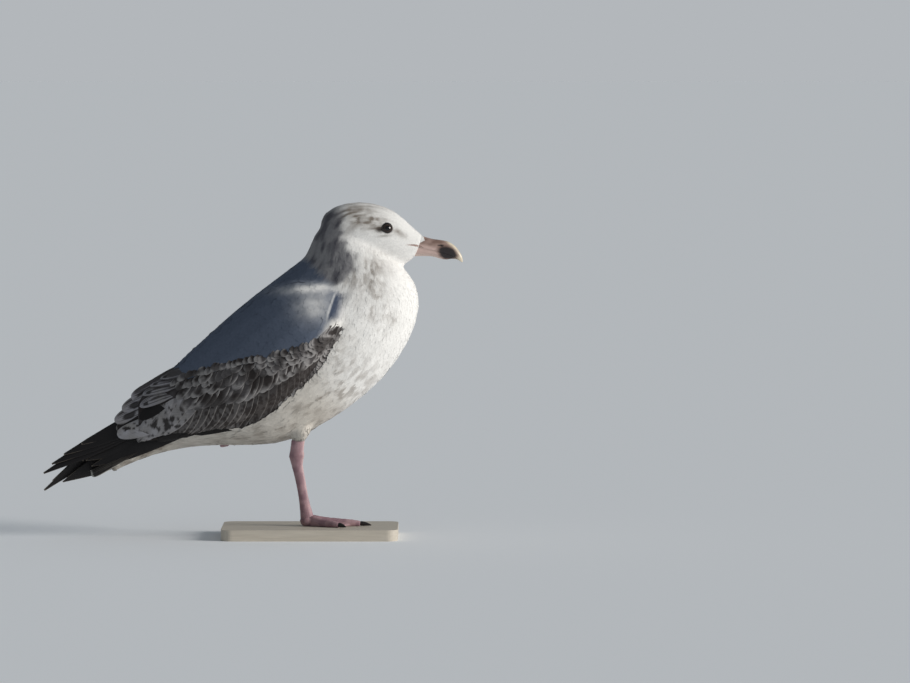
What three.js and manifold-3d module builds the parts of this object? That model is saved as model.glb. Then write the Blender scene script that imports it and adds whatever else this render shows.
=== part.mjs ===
// A young herring gull at life size, resting on its right leg with the left one drawn up into the belly feathers.
// Millimetres. +X is the way it looks, +Y its left side, +Z up. The origin is on the sole of the standing foot.
import * as THREE from "three";
import { mergeVertices } from "three/addons/utils/BufferGeometryUtils.js";
import Module from "manifold-3d";

const wasm = await Module();
wasm.setup();

// ---------- Driving dimensions ----------
const GAP = 0.3; // clearance between neighbouring solids
const FINISH = 0.1; // how far a face may move when needless small faces are merged
const RING = 22; // points round a section of the body
const RIGHT = -1; // the sign of Y on the bird's right side
const LEFT = 1;

// Sections of the trunk and neck, from the tail root to inside the head. Each runs from a belly point to a
// back point in the plane of symmetry; half is its half width.
const BODY_SECTIONS = [
  { belly: [-214, 58], back: [-217, 68], half: 7 },
  { belly: [-190, 69], back: [-206, 90], half: 13 },
  { belly: [-160, 79], back: [-188, 117], half: 19 },
  { belly: [-128, 85], back: [-167, 142], half: 28 },
  { belly: [-95, 87], back: [-146, 167], half: 38 },
  { belly: [-60, 87], back: [-121, 195], half: 46 },
  { belly: [-23, 92], back: [-92, 223], half: 52 },
  { belly: [14, 110], back: [-63, 247], half: 56 },
  { belly: [46, 131], back: [-38, 266], half: 57 },
  { belly: [80, 161], back: [-18, 281], half: 55 },
  { belly: [105, 197], back: [-6, 291], half: 50 },
  { belly: [117, 230], back: [0, 303], half: 44 },
  { belly: [116, 256], back: [6, 316], half: 37 },
  { belly: [104, 276], back: [17, 328], half: 28 },
  { belly: [90, 290], back: [36, 333], half: 18 },
];
const BODY_RINGS = 26;
const BODY_WIDEST = 0.47; // where a section is widest, as a share of the way from belly to back

// Sections of the head, from inside the neck to the feathers' edge at the bill.
const HEAD_SECTIONS = [
  { belly: [24, 303], back: [12, 318], half: 12 },
  { belly: [36, 291], back: [13, 334], half: 20 },
  { belly: [52, 283], back: [29, 346], half: 24 },
  { belly: [70, 278], back: [51, 350.2], half: 24.5 },
  { belly: [87, 278], back: [74, 347.5], half: 22 },
  { belly: [101, 282], back: [93, 339], half: 17.5 },
  { belly: [109, 287], back: [108, 326], half: 13 },
  { belly: [113, 291], back: [117, 318], half: 10 },
  { belly: [115, 293], back: [122.5, 313], half: 8 },
];
const HEAD_RINGS = 14;
const HEAD_WIDEST = 0.5;

// The head is parted from the neck, and the neck from the trunk, by planes square to the symmetry plane.
const THROAT_CUT = { low: [101, 283], high: [7, 311] };
const NECK_CUT = { low: [118, 222], high: [-2, 291] };

// The folded wing: sections from the bend of the wing to the tips of the coverts, each from a lower edge to an
// upper edge, given for the right wing; bulge is how far the outer face stands off the line between them.
const WING_SECTIONS = [
  { low: [43, -41, 242], high: [36, -40, 257], bulge: 3 },
  { low: [38, -49, 224], high: [16, -36, 264], bulge: 14 },
  { low: [25, -55, 201], high: [-14, -28, 268], bulge: 23 },
  { low: [8, -57, 176], high: [-43, -20, 258], bulge: 27 },
  { low: [-18, -55, 148], high: [-72, -16, 237], bulge: 28 },
  { low: [-51, -50, 125], high: [-101, -13, 214], bulge: 26 },
  { low: [-86, -44, 110], high: [-129, -11, 189], bulge: 22 },
  { low: [-119, -37, 101], high: [-151, -9, 168], bulge: 17 },
  { low: [-148, -30, 94], high: [-170, -9, 152], bulge: 12 },
  { low: [-172, -24, 91], high: [-185, -9, 137], bulge: 8 },
  { low: [-188, -20, 92], high: [-194, -10, 124], bulge: 4 },
];
const WING_RINGS = 15;
const WING_RING_POINTS = 14;
const WING_AXIS = new THREE.Vector3(-0.8, 0, -0.6); // the way the folded wing runs back

// Tertials of the right wing, the top one first, from inside the wing to their tips.
const TERTIALS = [
  [[-118, -20, 176], [-146, -15, 161], [-172, -12, 147], [-192, -8, 139]],
  [[-125, -24, 158], [-156, -19, 143], [-186, -14, 126], [-209, -9, 114]],
  [[-125, -31, 132], [-156, -27, 117], [-186, -21, 107], [-208, -16, 101]],
];
const TERTIAL_HALF = [8, 12, 12.5, 10, 3];
const TERTIAL_THICKNESS = 1.5;

// Primaries: tips of the right wing, the longest first. The left wing hangs a little lower.
const PRIMARY_ROOT = [-150, -17, 132];
const PRIMARIES = [
  [-288, -4, 57],
  [-279, -5, 67],
  [-266, -6, 77.5],
  [-247, -7, 89],
  [-226, -8, 100],
];
const PRIMARY_HALF = [9, 11, 10, 6.5, 1];
const PRIMARY_THICKNESS = 1.1;
const PRIMARY_SAG = 1;
const PRIMARY_DROOP = 19;

// Tail feathers: the middle one is the longest, and the others lie beside it, each a little lower and shorter.
const TAIL_ROOT = [-172, 0, 96];
const TAIL_TIP = [-238, 0, 60];
const TAIL_PER_SIDE = 4;
const TAIL_SPREAD = 5.4; // sideways from one tip to the next
const TAIL_STEP_DOWN = 2;
const TAIL_STEP_BACK = 0.7;
const TAIL_HALF = [4, 8, 9, 7, 2];
const TAIL_THICKNESS = 1;

// Bill.
const CULMEN = [[119, 314], [131, 310.5], [141, 309], [149, 307.3], [156, 303], [161, 297], [164.2, 291], [165, 285.5]];
const TOMIUM = [[101, 304.6], [114, 302], [127, 299.4], [137, 297.2], [146, 294.8], [154, 292.2], [160, 288.5], [164, 284.8]];
const GONYS = [[104, 290.6], [114, 291.4], [123, 291.6], [132, 291.2], [141, 288.8], [147, 287.9], [153, 288.8], [158, 289.8]];
const BILL_HALF_WIDTH = [9, 8, 6.8, 5.8, 5, 4, 2.6, 1];
const BILL_RINGS = 13;
const BILL_RING_POINTS = 10;

// Eyes.
const EYE_CENTRE = [82.5, 14.4, 321.5];
const EYE_RADIUS = 8;

// Standing leg: path of the shin from the belly feathers to the hock and of the shank down to the toes.
const SHIN = [[-9, -22, 112], [-12, -18, 97], [-14.3, -14, 79]];
const SHIN_DEPTH = [9, 7.2, 7.4]; // half sizes fore and aft
const SHIN_WIDTH = [8, 5.4, 5];
const SHANK = [[-14.3, -13.8, 76.6], [-13.6, -12.6, 66], [-10, -9, 48], [-7, -6.5, 30], [-4.5, -4.5, 16], [-3, -4, 7]];
const SHANK_DEPTH = [8.4, 6, 5.3, 5.2, 6.4, 7.6];
const SHANK_WIDTH = [5.4, 3.9, 3.5, 3.6, 4.6, 6.4];

// Toes: how far each splays from the middle one, and its length to the root of the claw.
const TOE_ROOT = [-3, -4];
const TOES = [
  { name: "inner", splay: 24, length: 44, claw: 10 },
  { name: "middle", splay: -2, length: 57, claw: 12 },
  { name: "outer", splay: -33, length: 41, claw: 9 },
];
const TOE_HALF_WIDTH = [5, 4.2, 4.3, 3.8, 3.9, 2.9];
const TOE_HEIGHT = [13, 10.5, 8.8, 7.6, 7, 5.4]; // of its back above the sole
const WEB_THICKNESS = 1.8;
const WEB_REACH = 0.97; // how far along the toes a web reaches, as a share of their length
const HIND_TOE = [[-9, -4, 14], [-13.5, -3, 12.5], [-17, -2.4, 10.5]];

// Drawn-up leg, in the feathers of the belly: the hock behind, the shank forward from it, then the closed toes.
const TUCKED_SHANK = [[-99, 19, 88], [-90, 20, 89.5], [-66, 20, 92], [-40, 19, 95], [-30, 18, 98]];
const TUCKED_SHANK_HALF = [5.6, 5.4, 4.2, 4.2, 5];
const TUCKED_TOES = [[-26, 18, 99], [-12, 17, 102], [2, 16, 107], [15, 15, 114]];
const TUCKED_TOES_HALF = [5.4, 6, 5, 3];

// The plain base that keeps the one-legged bird from falling over.
const BASE_LENGTH = 190;
const BASE_WIDTH = 120;
const BASE_THICKNESS = 12;
const BASE_CORNER = 12;

// ---------- Shapes ----------
const lerp = THREE.MathUtils.lerp;
const radians = THREE.MathUtils.degToRad;

// A smooth value at t, from 0 to 1, along evenly spaced values (Catmull-Rom).
function smooth(values, t) {
  const last = values.length - 1;
  const at = Math.min(t * last, last - 1e-9);
  const i = Math.floor(at);
  const f = at - i;
  const value = (k) => values[THREE.MathUtils.clamp(k, 0, last)];
  const [a, b, c, d] = [value(i - 1), value(i), value(i + 1), value(i + 2)];
  return b + 0.5 * f * (c - a + f * (2 * a - 5 * b + 4 * c - d + f * (3 * (b - c) + d - a)));
}

// The same for points of two or three numbers.
function smoothPoint(points, t) {
  return points[0].map((_, k) => smooth(points.map((p) => p[k]), t));
}

// A closed geometry over rings of points, with a fan over each end.
function loft(rings) {
  const n = rings[0].length;
  const positions = rings.flat().flatMap((p) => [p.x, p.y, p.z]);
  const index = [];
  for (let r = 0; r + 1 < rings.length; r++) {
    for (let k = 0; k < n; k++) {
      const a = r * n + k;
      const b = r * n + ((k + 1) % n);
      index.push(a, b, a + n, b, b + n, a + n);
    }
  }
  const fan = (ring, start, flip) => {
    const centre = ring.reduce((s, p) => s.add(p), new THREE.Vector3()).divideScalar(n);
    const c = positions.length / 3;
    positions.push(centre.x, centre.y, centre.z);
    for (let k = 0; k < n; k++) {
      const [a, b] = [start + k, start + ((k + 1) % n)];
      index.push(c, flip ? a : b, flip ? b : a);
    }
  };
  fan(rings[0], 0, false);
  fan(rings[rings.length - 1], (rings.length - 1) * n, true);
  const geometry = new THREE.BufferGeometry();
  geometry.setAttribute("position", new THREE.Float32BufferAttribute(positions, 3));
  geometry.setIndex(index);
  return geometry;
}

// A geometry as a solid, turned to face outwards.
function solid(geometry) {
  const bare = geometry.clone();
  bare.deleteAttribute("normal");
  bare.deleteAttribute("uv");
  const merged = mergeVertices(bare, 1e-4);
  const vertProperties = new Float32Array(merged.attributes.position.array);
  const triVerts = new Uint32Array(merged.index.array);
  const made = new wasm.Manifold(new wasm.Mesh({ numProp: 3, vertProperties, triVerts }));
  if (made.volume() > 0) return made;
  triVerts.reverse();
  return new wasm.Manifold(new wasm.Mesh({ numProp: 3, vertProperties, triVerts }));
}

function join(solids) {
  return solids.reduce((a, b) => a.add(b));
}

// The largest piece of a solid, dropping slivers that a cut has left.
function mainPiece(made) {
  return made.decompose().reduce((a, b) => (b.volume() > a.volume() ? b : a));
}

// The largest piece again, with its needless small faces merged.
function finished(made) {
  return mainPiece(mainPiece(made).simplify(FINISH));
}

// Sections given by a belly and a back point, as rings grown outwards by grow.
function sectionRings(sections, count, widest, grow = 0) {
  return Array.from({ length: count }, (_, r) => {
    const t = r / (count - 1);
    const [bx, bz] = smoothPoint(sections.map((s) => s.belly), t);
    const [tx, tz] = smoothPoint(sections.map((s) => s.back), t);
    const half = smooth(sections.map((s) => s.half), t) + grow;
    const length = Math.hypot(tx - bx, tz - bz);
    const spare = grow / length;
    return Array.from({ length: RING }, (_, k) => {
      const angle = (2 * Math.PI * k) / RING;
      const side = Math.sin(angle);
      const along = (1 + (1 + 2 * spare) * Math.cos(angle)) / 2 + (widest - 0.5) * side * side;
      return new THREE.Vector3(lerp(bx, tx, along), half * side, lerp(bz, tz, along));
    });
  });
}

// Round or oval rings along a path of points. across is the direction of the wide axis.
function tube(path, wide, thin, across, points = 10, count = path.length * 3) {
  const rings = Array.from({ length: count }, (_, r) => {
    const t = r / (count - 1);
    const centre = new THREE.Vector3(...smoothPoint(path, t));
    const ahead = new THREE.Vector3(...smoothPoint(path, Math.min(1, t + 0.01)));
    const behind = new THREE.Vector3(...smoothPoint(path, Math.max(0, t - 0.01)));
    const tangent = ahead.sub(behind).normalize();
    const u = across.clone().addScaledVector(tangent, -across.dot(tangent)).normalize();
    const v = new THREE.Vector3().crossVectors(tangent, u);
    return Array.from({ length: points }, (_, k) => {
      const angle = (2 * Math.PI * k) / points;
      return centre
        .clone()
        .addScaledVector(u, smooth(wide, t) * Math.cos(angle))
        .addScaledVector(v, smooth(thin, t) * Math.sin(angle));
    });
  });
  return solid(loft(rings));
}

// A feather or a stack of them: a flat blade along a path, half as wide as `half` says along its length.
function blade(path, half, thickness, across, rings = 8, points = 8) {
  return tube(path, half, [thickness, thickness, thickness * 0.8, 0.4], across, points, rings);
}

// The part of a solid above or below the line of a cut, less half the gap.
function beyond(made, cut, side) {
  const [[lx, lz], [hx, hz]] = [cut.low, cut.high];
  const length = Math.hypot(hx - lx, hz - lz);
  const normal = [((hz - lz) / length) * side, 0, (-(hx - lx) / length) * side];
  return made.trimByPlane(normal, normal[0] * lx + normal[2] * lz + GAP / 2);
}

function material(color, roughness = 0.75) {
  return new THREE.MeshStandardMaterial({ color, roughness, metalness: 0 });
}

const WHITE_PLUMAGE = material(0xe9e6e0);
const GREY_PLUMAGE = material(0x7f8791);
const MOTTLED_PLUMAGE = material(0x8d857b);
const DARK_PLUMAGE = material(0x1d1a18, 0.6);
const LEG_SKIN = material(0xd3a49c, 0.5);
const BILL_HORN = material(0xc69f92, 0.4);
const CLAW_HORN = material(0x16120f, 0.4);
const EYE_GLASS = material(0x120c08, 0.1);
const BASE_WOOD = material(0xb9b3a8, 0.7);

const bird = new THREE.Group();

function meshOf(name, made, look) {
  const mesh = made.getMesh();
  const geometry = new THREE.BufferGeometry();
  geometry.setAttribute("position", new THREE.BufferAttribute(new Float32Array(mesh.vertProperties), 3));
  geometry.setIndex(new THREE.BufferAttribute(new Uint32Array(mesh.triVerts), 1));
  geometry.computeVertexNormals();
  const piece = new THREE.Mesh(geometry, look);
  piece.name = name;
  return piece;
}

// Adds a solid to the bird as a named mesh.
function add(name, made, look) {
  bird.add(meshOf(name, made, look));
}

const ABOVE = 1;
const BELOW = -1;

// ---------- Trunk, neck and head ----------
const bodyShape = (grow) => solid(loft(sectionRings(BODY_SECTIONS, BODY_RINGS, BODY_WIDEST, grow)));
const headShape = (grow) => solid(loft(sectionRings(HEAD_SECTIONS, HEAD_RINGS, HEAD_WIDEST, grow)));
const flesh = bodyShape(0).add(headShape(0));
const fleshWithGap = bodyShape(GAP).add(headShape(GAP));

// Lines of points carried to a closed blade along them, each feather turned so that its upper edge is `up`.
const slope = (side) => new THREE.Vector3(-0.45, -0.4 * side, 0.75);
const mirrored = (points, side) => points.map(([x, y, z]) => [x, y * -side, z]);

// ---------- Bill ----------
// A mandible between an upper and a lower line, as wide as the bill there.
function mandible(upper, lower, share) {
  const rings = Array.from({ length: BILL_RINGS }, (_, r) => {
    const t = r / (BILL_RINGS - 1);
    const [ux, uz] = smoothPoint(upper, t);
    const [lx, lz] = smoothPoint(lower, t);
    const half = smooth(BILL_HALF_WIDTH, t) * share;
    return Array.from({ length: BILL_RING_POINTS }, (_, k) => {
      const angle = (2 * Math.PI * k) / BILL_RING_POINTS;
      const along = (1 + Math.cos(angle)) / 2;
      return new THREE.Vector3(lerp(lx, ux, along), half * Math.sin(angle), lerp(lz, uz, along));
    });
  });
  return solid(loft(rings));
}

const raised = (line, height) => line.map(([x, z]) => [x, z + height]);
const upperBill = mandible(CULMEN, TOMIUM, 1);
const lowerBill = mandible(raised(TOMIUM, -GAP), GONYS, 0.9);
add("bill_upper", mainPiece(upperBill.subtract(fleshWithGap)), BILL_HORN);
const upperWithGap = mandible(raised(CULMEN, GAP), raised(TOMIUM, -GAP), 1.05);
add("bill_lower", mainPiece(lowerBill.subtract(fleshWithGap).subtract(upperWithGap)), BILL_HORN);

// ---------- Eyes ----------
const ball = (radius, [x, y, z], side) => solid(new THREE.SphereGeometry(radius, 12, 9).translate(x, y * side, z));
const eyes = [RIGHT, LEFT].map((side) => ball(EYE_RADIUS, EYE_CENTRE, side));
const sockets = [RIGHT, LEFT].map((side) => ball(EYE_RADIUS + GAP, EYE_CENTRE, side));
eyes.forEach((eye, i) => add(i === 0 ? "eye_right" : "eye_left", eye, EYE_GLASS));

// ---------- Tail ----------
// The folded tail: feathers side by side, the outer ones lower and shorter, as one solid grown by grow.
function tailShape(grow) {
  const feathers = [];
  for (let i = -TAIL_PER_SIDE; i <= TAIL_PER_SIDE; i++) {
    const n = Math.abs(i);
    const path = [0, 0.35, 0.7, 1].map((f) => [
      lerp(TAIL_ROOT[0], TAIL_TIP[0] + n * TAIL_STEP_BACK, f),
      i * TAIL_SPREAD * (0.45 + 0.55 * f),
      lerp(TAIL_ROOT[2], TAIL_TIP[2], f) - n * TAIL_STEP_DOWN,
    ]);
    const lean = new THREE.Vector3(0, 1, (-0.35 * i) / TAIL_PER_SIDE);
    feathers.push(blade(path, TAIL_HALF.map((h) => h + grow), TAIL_THICKNESS + grow, lean, 4, 6));
  }
  return join(feathers);
}

// ---------- Folded wings ----------
// Rings round the wing's sections: the outer face bulges away from the body, and the body cuts the inner one.
function wingCoverts(side, grow) {
  const lows = WING_SECTIONS.map((s) => s.low);
  const highs = WING_SECTIONS.map((s) => s.high);
  const bulges = WING_SECTIONS.map((s) => s.bulge);
  const rings = Array.from({ length: WING_RINGS }, (_, r) => {
    const t = r / (WING_RINGS - 1);
    const low = new THREE.Vector3(...smoothPoint(lows, t));
    const high = new THREE.Vector3(...smoothPoint(highs, t));
    const outward = new THREE.Vector3().crossVectors(high.clone().sub(low), WING_AXIS).normalize();
    const bulge = smooth(bulges, t) + grow;
    return Array.from({ length: WING_RING_POINTS }, (_, k) => {
      const angle = (2 * Math.PI * k) / WING_RING_POINTS;
      const out = Math.sin(angle);
      const lift = out > 0 ? bulge * out ** 0.85 : 7 * out;
      const p = low.clone().lerp(high, (1 + Math.cos(angle)) / 2).addScaledVector(outward, lift);
      return new THREE.Vector3(p.x, p.y * -side, p.z);
    });
  });
  return solid(loft(rings));
}

// The wing with its long tertials over the end of the coverts.
function wingShape(side, grow) {
  const half = TERTIAL_HALF.map((h) => h + grow);
  const tertials = TERTIALS.map((path) => blade(mirrored(path, side), half, TERTIAL_THICKNESS + grow, slope(side), 7, 6));
  return join([wingCoverts(side, grow), ...tertials]);
}

// The quills that stick out behind, the outermost the longest.
function primaryShape(side) {
  const droop = side === LEFT ? PRIMARY_DROOP : 0;
  const quills = PRIMARIES.map((tip) => {
    const path = [0, 0.35, 0.7, 1].map((f) => {
      const sag = Math.sin(Math.PI * f) * PRIMARY_SAG + droop * f * f;
      return [0, 1, 2].map((k) => lerp(PRIMARY_ROOT[k], tip[k], f) - (k === 2 ? sag : 0));
    });
    return blade(mirrored(path, side), PRIMARY_HALF, PRIMARY_THICKNESS, slope(side), 7, 6);
  });
  return join(quills);
}

const tail = finished(tailShape(0));
const wings = [RIGHT, LEFT].map((side) => finished(wingShape(side, 0).subtract(fleshWithGap).subtract(tailShape(GAP))));
const primaries = [RIGHT, LEFT].map((side) => {
  const clear = join([fleshWithGap, tailShape(GAP), wingShape(side, GAP)]);
  return finished(primaryShape(side).subtract(clear));
});

// ---------- Standing leg and foot ----------
const foreAndAft = new THREE.Vector3(1, 0, 0);
const shin = (grow) => tube(SHIN, SHIN_DEPTH.map((d) => d + grow), SHIN_WIDTH.map((w) => w + grow), foreAndAft, 12, 6);
const shank = (grow) => tube(SHANK, SHANK_DEPTH.map((d) => d + grow), SHANK_WIDTH.map((w) => w + grow), foreAndAft, 12, 11);

// A toe: an arch over the sole, from the root to the claw. The sole is flat and level.
const heading = (splay) => new THREE.Vector3(Math.cos(radians(splay)), Math.sin(radians(splay)), 0);
function toe({ splay, length }) {
  const ahead = heading(splay);
  const across = new THREE.Vector3(-ahead.y, ahead.x, 0);
  const count = 8;
  const rings = Array.from({ length: count }, (_, r) => {
    const t = r / (count - 1);
    const half = smooth(TOE_HALF_WIDTH, t);
    const height = smooth(TOE_HEIGHT, t);
    const centre = new THREE.Vector3(...TOE_ROOT, 0).addScaledVector(ahead, t * length);
    return Array.from({ length: 8 }, (_, k) => {
      const angle = (2 * Math.PI * k) / 8;
      const rise = Math.max(0, height * (0.5 + 0.62 * Math.sin(angle)) - 0.06 * height);
      return centre.clone().addScaledVector(across, half * Math.cos(angle)).setZ(rise);
    });
  });
  return solid(loft(rings));
}

// A curved claw, from its root to a point on the ground.
function claw(root, ahead, length, height, floor) {
  const path = [0, 0.5, 1].map((f) => [
    root.x + ahead.x * length * f,
    root.y + ahead.y * length * f,
    lerp(root.z, floor + 0.9, f ** 1.6),
  ]);
  return tube(path, [height, height * 0.8, 0.45], [height * 0.75, height * 0.55, 0.4], new THREE.Vector3(0, 0, 1), 8, 6);
}

// The web between two toes: a thin sheet with a hollow front edge.
function web(a, b) {
  const root = new THREE.Vector2(...TOE_ROOT);
  const tip = (t) => {
    const ahead = heading(t.splay);
    return root.clone().add(new THREE.Vector2(ahead.x, ahead.y).multiplyScalar(t.length * WEB_REACH));
  };
  const [ta, tb] = [tip(a), tip(b)];
  const middle = ta.clone().add(tb).multiplyScalar(0.5).lerp(root, 0.3);
  const shape = new THREE.Shape();
  shape.moveTo(root.x, root.y);
  shape.lineTo(ta.x, ta.y);
  shape.quadraticCurveTo(middle.x, middle.y, tb.x, tb.y);
  shape.closePath();
  const settings = { depth: WEB_THICKNESS, bevelEnabled: false, curveSegments: 6 };
  return solid(new THREE.ExtrudeGeometry(shape, settings));
}

const heel = solid(new THREE.SphereGeometry(7.6, 10, 7).scale(1.1, 1, 1).translate(TOE_ROOT[0], TOE_ROOT[1], 6));
const webs = [web(TOES[1], TOES[0]), web(TOES[2], TOES[1])];
const hindToe = tube(HIND_TOE, [3, 2.6, 1.6], [2.6, 2.2, 1.4], new THREE.Vector3(0, 1, 0), 8, 4);
const wholeFoot = join([heel, hindToe, ...TOES.map(toe), ...webs]).trimByPlane([0, 0, 1], 0);
const foot = finished(wholeFoot.subtract(shank(GAP)));
const claws = TOES.map((t) => {
  const ahead = heading(t.splay);
  const root = new THREE.Vector3(...TOE_ROOT, TOE_HEIGHT.at(-1) * 0.52).addScaledVector(ahead, t.length + GAP);
  return claw(root, ahead, t.claw, 2.6, 0).trimByPlane([0, 0, 1], 0);
});

// ---------- Drawn-up leg ----------
const up = new THREE.Vector3(0, 0, 1);
const tuckedShank = (grow) =>
  tube(TUCKED_SHANK, TUCKED_SHANK_HALF.map((h) => h + grow), TUCKED_SHANK_HALF.map((h) => h * 0.8 + grow), up, 10, 9);
const tuckedToes = (grow) =>
  tube(TUCKED_TOES, TUCKED_TOES_HALF.map((h) => h + grow), TUCKED_TOES_HALF.map((h) => h * 0.7 + grow), up, 10, 7);

// ---------- Assembly ----------
const head = beyond(flesh, THROAT_CUT, ABOVE).subtract(join(sockets));
add("head", mainPiece(head), WHITE_PLUMAGE);
add("neck", mainPiece(beyond(beyond(flesh, THROAT_CUT, BELOW), NECK_CUT, ABOVE)), WHITE_PLUMAGE);
const pockets = join([shin(GAP), tuckedShank(GAP), tuckedToes(GAP), tailShape(1.7 * GAP)]);
add("trunk", finished(beyond(flesh, NECK_CUT, BELOW).subtract(pockets)), WHITE_PLUMAGE);
add("tail", tail, MOTTLED_PLUMAGE);
["right", "left"].forEach((name, i) => {
  add(`wing_${name}`, wings[i], GREY_PLUMAGE);
  add(`primaries_${name}`, primaries[i], DARK_PLUMAGE);
});
add("thigh_right", mainPiece(shin(0).subtract(shank(GAP))), LEG_SKIN);
add("shank_right", shank(0).trimByPlane([0, 0, 1], 2), LEG_SKIN);
add("foot_right", foot, LEG_SKIN);
TOES.forEach((t, i) => add(`claw_right_${t.name}`, claws[i], CLAW_HORN));
add("shank_left", tuckedShank(0), LEG_SKIN);
add("foot_left", mainPiece(tuckedToes(0).subtract(tuckedShank(GAP))), LEG_SKIN);

// ---------- Base ----------
function plate() {
  const [l, w, r] = [BASE_LENGTH / 2, BASE_WIDTH / 2, BASE_CORNER];
  const shape = new THREE.Shape();
  shape.moveTo(-l + r, -w);
  shape.lineTo(l - r, -w);
  shape.absarc(l - r, -w + r, r, -Math.PI / 2, 0, false);
  shape.absarc(l - r, w - r, r, 0, Math.PI / 2, false);
  shape.absarc(-l + r, w - r, r, Math.PI / 2, Math.PI, false);
  shape.absarc(-l + r, -w + r, r, Math.PI, 1.5 * Math.PI, false);
  return solid(new THREE.ExtrudeGeometry(shape, { depth: BASE_THICKNESS, bevelEnabled: false, curveSegments: 5 }));
}

bird.position.z = BASE_THICKNESS + GAP;

const gull = new THREE.Group();
gull.add(bird, meshOf("stand_base", plate(), BASE_WOOD));

export default gull;
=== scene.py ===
"""A young herring gull at life size, resting on one leg: one skin over the flesh, under feathers of mesh.

Sizes are in millimetres in the bird's own space, whose Z starts at the sole, until a mesh is made in metres.
"""

import math
from functools import partial

import bmesh
import bpy
import numpy as np
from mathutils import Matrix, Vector
from mathutils.bvhtree import BVHTree
from mathutils.kdtree import KDTree


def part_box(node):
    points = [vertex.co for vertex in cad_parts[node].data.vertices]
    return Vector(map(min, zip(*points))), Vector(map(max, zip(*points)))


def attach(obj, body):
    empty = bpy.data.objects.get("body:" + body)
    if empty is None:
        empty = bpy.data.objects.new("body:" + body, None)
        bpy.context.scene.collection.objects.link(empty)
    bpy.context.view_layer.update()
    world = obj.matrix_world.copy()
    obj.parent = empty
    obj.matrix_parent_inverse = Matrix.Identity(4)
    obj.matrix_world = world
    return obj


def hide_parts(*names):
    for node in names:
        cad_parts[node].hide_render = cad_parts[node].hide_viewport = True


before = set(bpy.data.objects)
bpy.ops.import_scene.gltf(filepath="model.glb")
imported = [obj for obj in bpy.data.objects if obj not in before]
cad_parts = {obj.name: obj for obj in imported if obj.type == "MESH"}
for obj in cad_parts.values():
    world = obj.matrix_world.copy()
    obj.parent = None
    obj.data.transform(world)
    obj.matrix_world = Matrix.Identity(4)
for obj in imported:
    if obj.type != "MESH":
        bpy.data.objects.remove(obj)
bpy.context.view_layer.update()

MM = 0.001
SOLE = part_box("foot_right")[0].z / MM
RIGHT, LEFT = -1, 1
SIDES = {RIGHT: "right", LEFT: "left"}
rng = np.random.default_rng(11)

# ---------------------------------------------------------------- camera, light and floor
VIEW_CENTRE = (156.6, 0.0, 199.3)  # what the middle of the picture shows, in the bird's plane of symmetry
VIEW_WIDTH = 983.0
VIEW_DISTANCE = 6500.0
VIEW_ELEVATION = math.radians(3.0)
SENSOR = 36
SIGHT = 60  # metres
KEY_FROM = (0.91, -0.30, 0.28)
KEY_SPREAD = math.radians(26)
KEY_STRENGTH = 3.1
KEY_COLOUR = (1.0, 0.97, 0.93)
FILL_STRENGTH = 0.27
FILL_COLOUR = (0.82, 0.91, 1.0)
FLOOR = (0.90, 0.92, 0.94)
FLOOR_HALF = 90.0  # metres
BACKDROP = (0.451, 0.4735, 0.497)


def add_object(name, data):
    obj = bpy.data.objects.new(name, data)
    bpy.context.scene.collection.objects.link(obj)
    return obj


def make_camera():
    data = bpy.data.cameras.new("camera")
    data.sensor_width = SENSOR
    data.lens = SENSOR * VIEW_DISTANCE / VIEW_WIDTH
    data.clip_end = SIGHT
    obj = add_object("camera", data)
    centre = Vector(VIEW_CENTRE) * MM + Vector((0, 0, SOLE * MM))
    back = Vector((0, -math.cos(VIEW_ELEVATION), math.sin(VIEW_ELEVATION)))
    obj.location = centre + back * VIEW_DISTANCE * MM
    obj.rotation_euler = (math.pi / 2 - VIEW_ELEVATION, 0, 0)
    bpy.context.scene.camera = obj


def make_lights():
    """A wide key light, and a world that lights the bird softly and shows the camera a backdrop."""
    data = bpy.data.lights.new("key", "SUN")
    data.energy = KEY_STRENGTH
    data.angle = KEY_SPREAD
    data.color = KEY_COLOUR
    key = add_object("key", data)
    key.rotation_euler = Vector(KEY_FROM).to_track_quat("Z", "Y").to_euler()
    world = bpy.data.worlds.new("studio")
    bpy.context.scene.world = world
    world.use_nodes = True
    tree = world.node_tree
    fill = tree.nodes["Background"]
    shown = tree.nodes.new("ShaderNodeBackground")
    for node, colour, strength in ((fill, FILL_COLOUR, FILL_STRENGTH), (shown, BACKDROP, 1)):
        node.inputs["Color"].default_value = (*colour, 1)
        node.inputs["Strength"].default_value = strength
    path = tree.nodes.new("ShaderNodeLightPath")
    blend = tree.nodes.new("ShaderNodeMixShader")
    tree.links.new(path.outputs["Is Camera Ray"], blend.inputs["Fac"])
    tree.links.new(fill.outputs[0], blend.inputs[1])
    tree.links.new(shown.outputs[0], blend.inputs[2])
    tree.links.new(blend.outputs[0], tree.nodes["World Output"].inputs["Surface"])


def make_floor():
    mesh = bpy.data.meshes.new("floor")
    corners = [(x * FLOOR_HALF, y * FLOOR_HALF, 0) for x, y in ((-1, -1), (1, -1), (1, 1), (-1, 1))]
    mesh.from_pydata(corners, [], [(0, 1, 2, 3)])
    floor = add_object("floor", mesh)
    look = Look("floor", 1.0, 0.0)
    look.shader.inputs["Base Color"].default_value = (*FLOOR, 1)
    mesh.materials.append(look.material)


# ---------------------------------------------------------------- small tools
def along(values, t):
    """Catmull-Rom through evenly spaced values, at t from 0 to the last."""
    v = np.asarray(values, float)
    last = len(v) - 1
    t = np.clip(np.asarray(t, float), 0, last - 1e-9)
    i = np.floor(t).astype(int)
    f = (t - i).reshape(t.shape + (1,) * (v.ndim - 1))
    a, b, c, d = (v[np.clip(i + k, 0, last)] for k in (-1, 0, 1, 2))
    return b + 0.5 * f * (c - a + f * (2 * a - 5 * b + 4 * c - d + f * (3 * (b - c) + d - a)))


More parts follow.
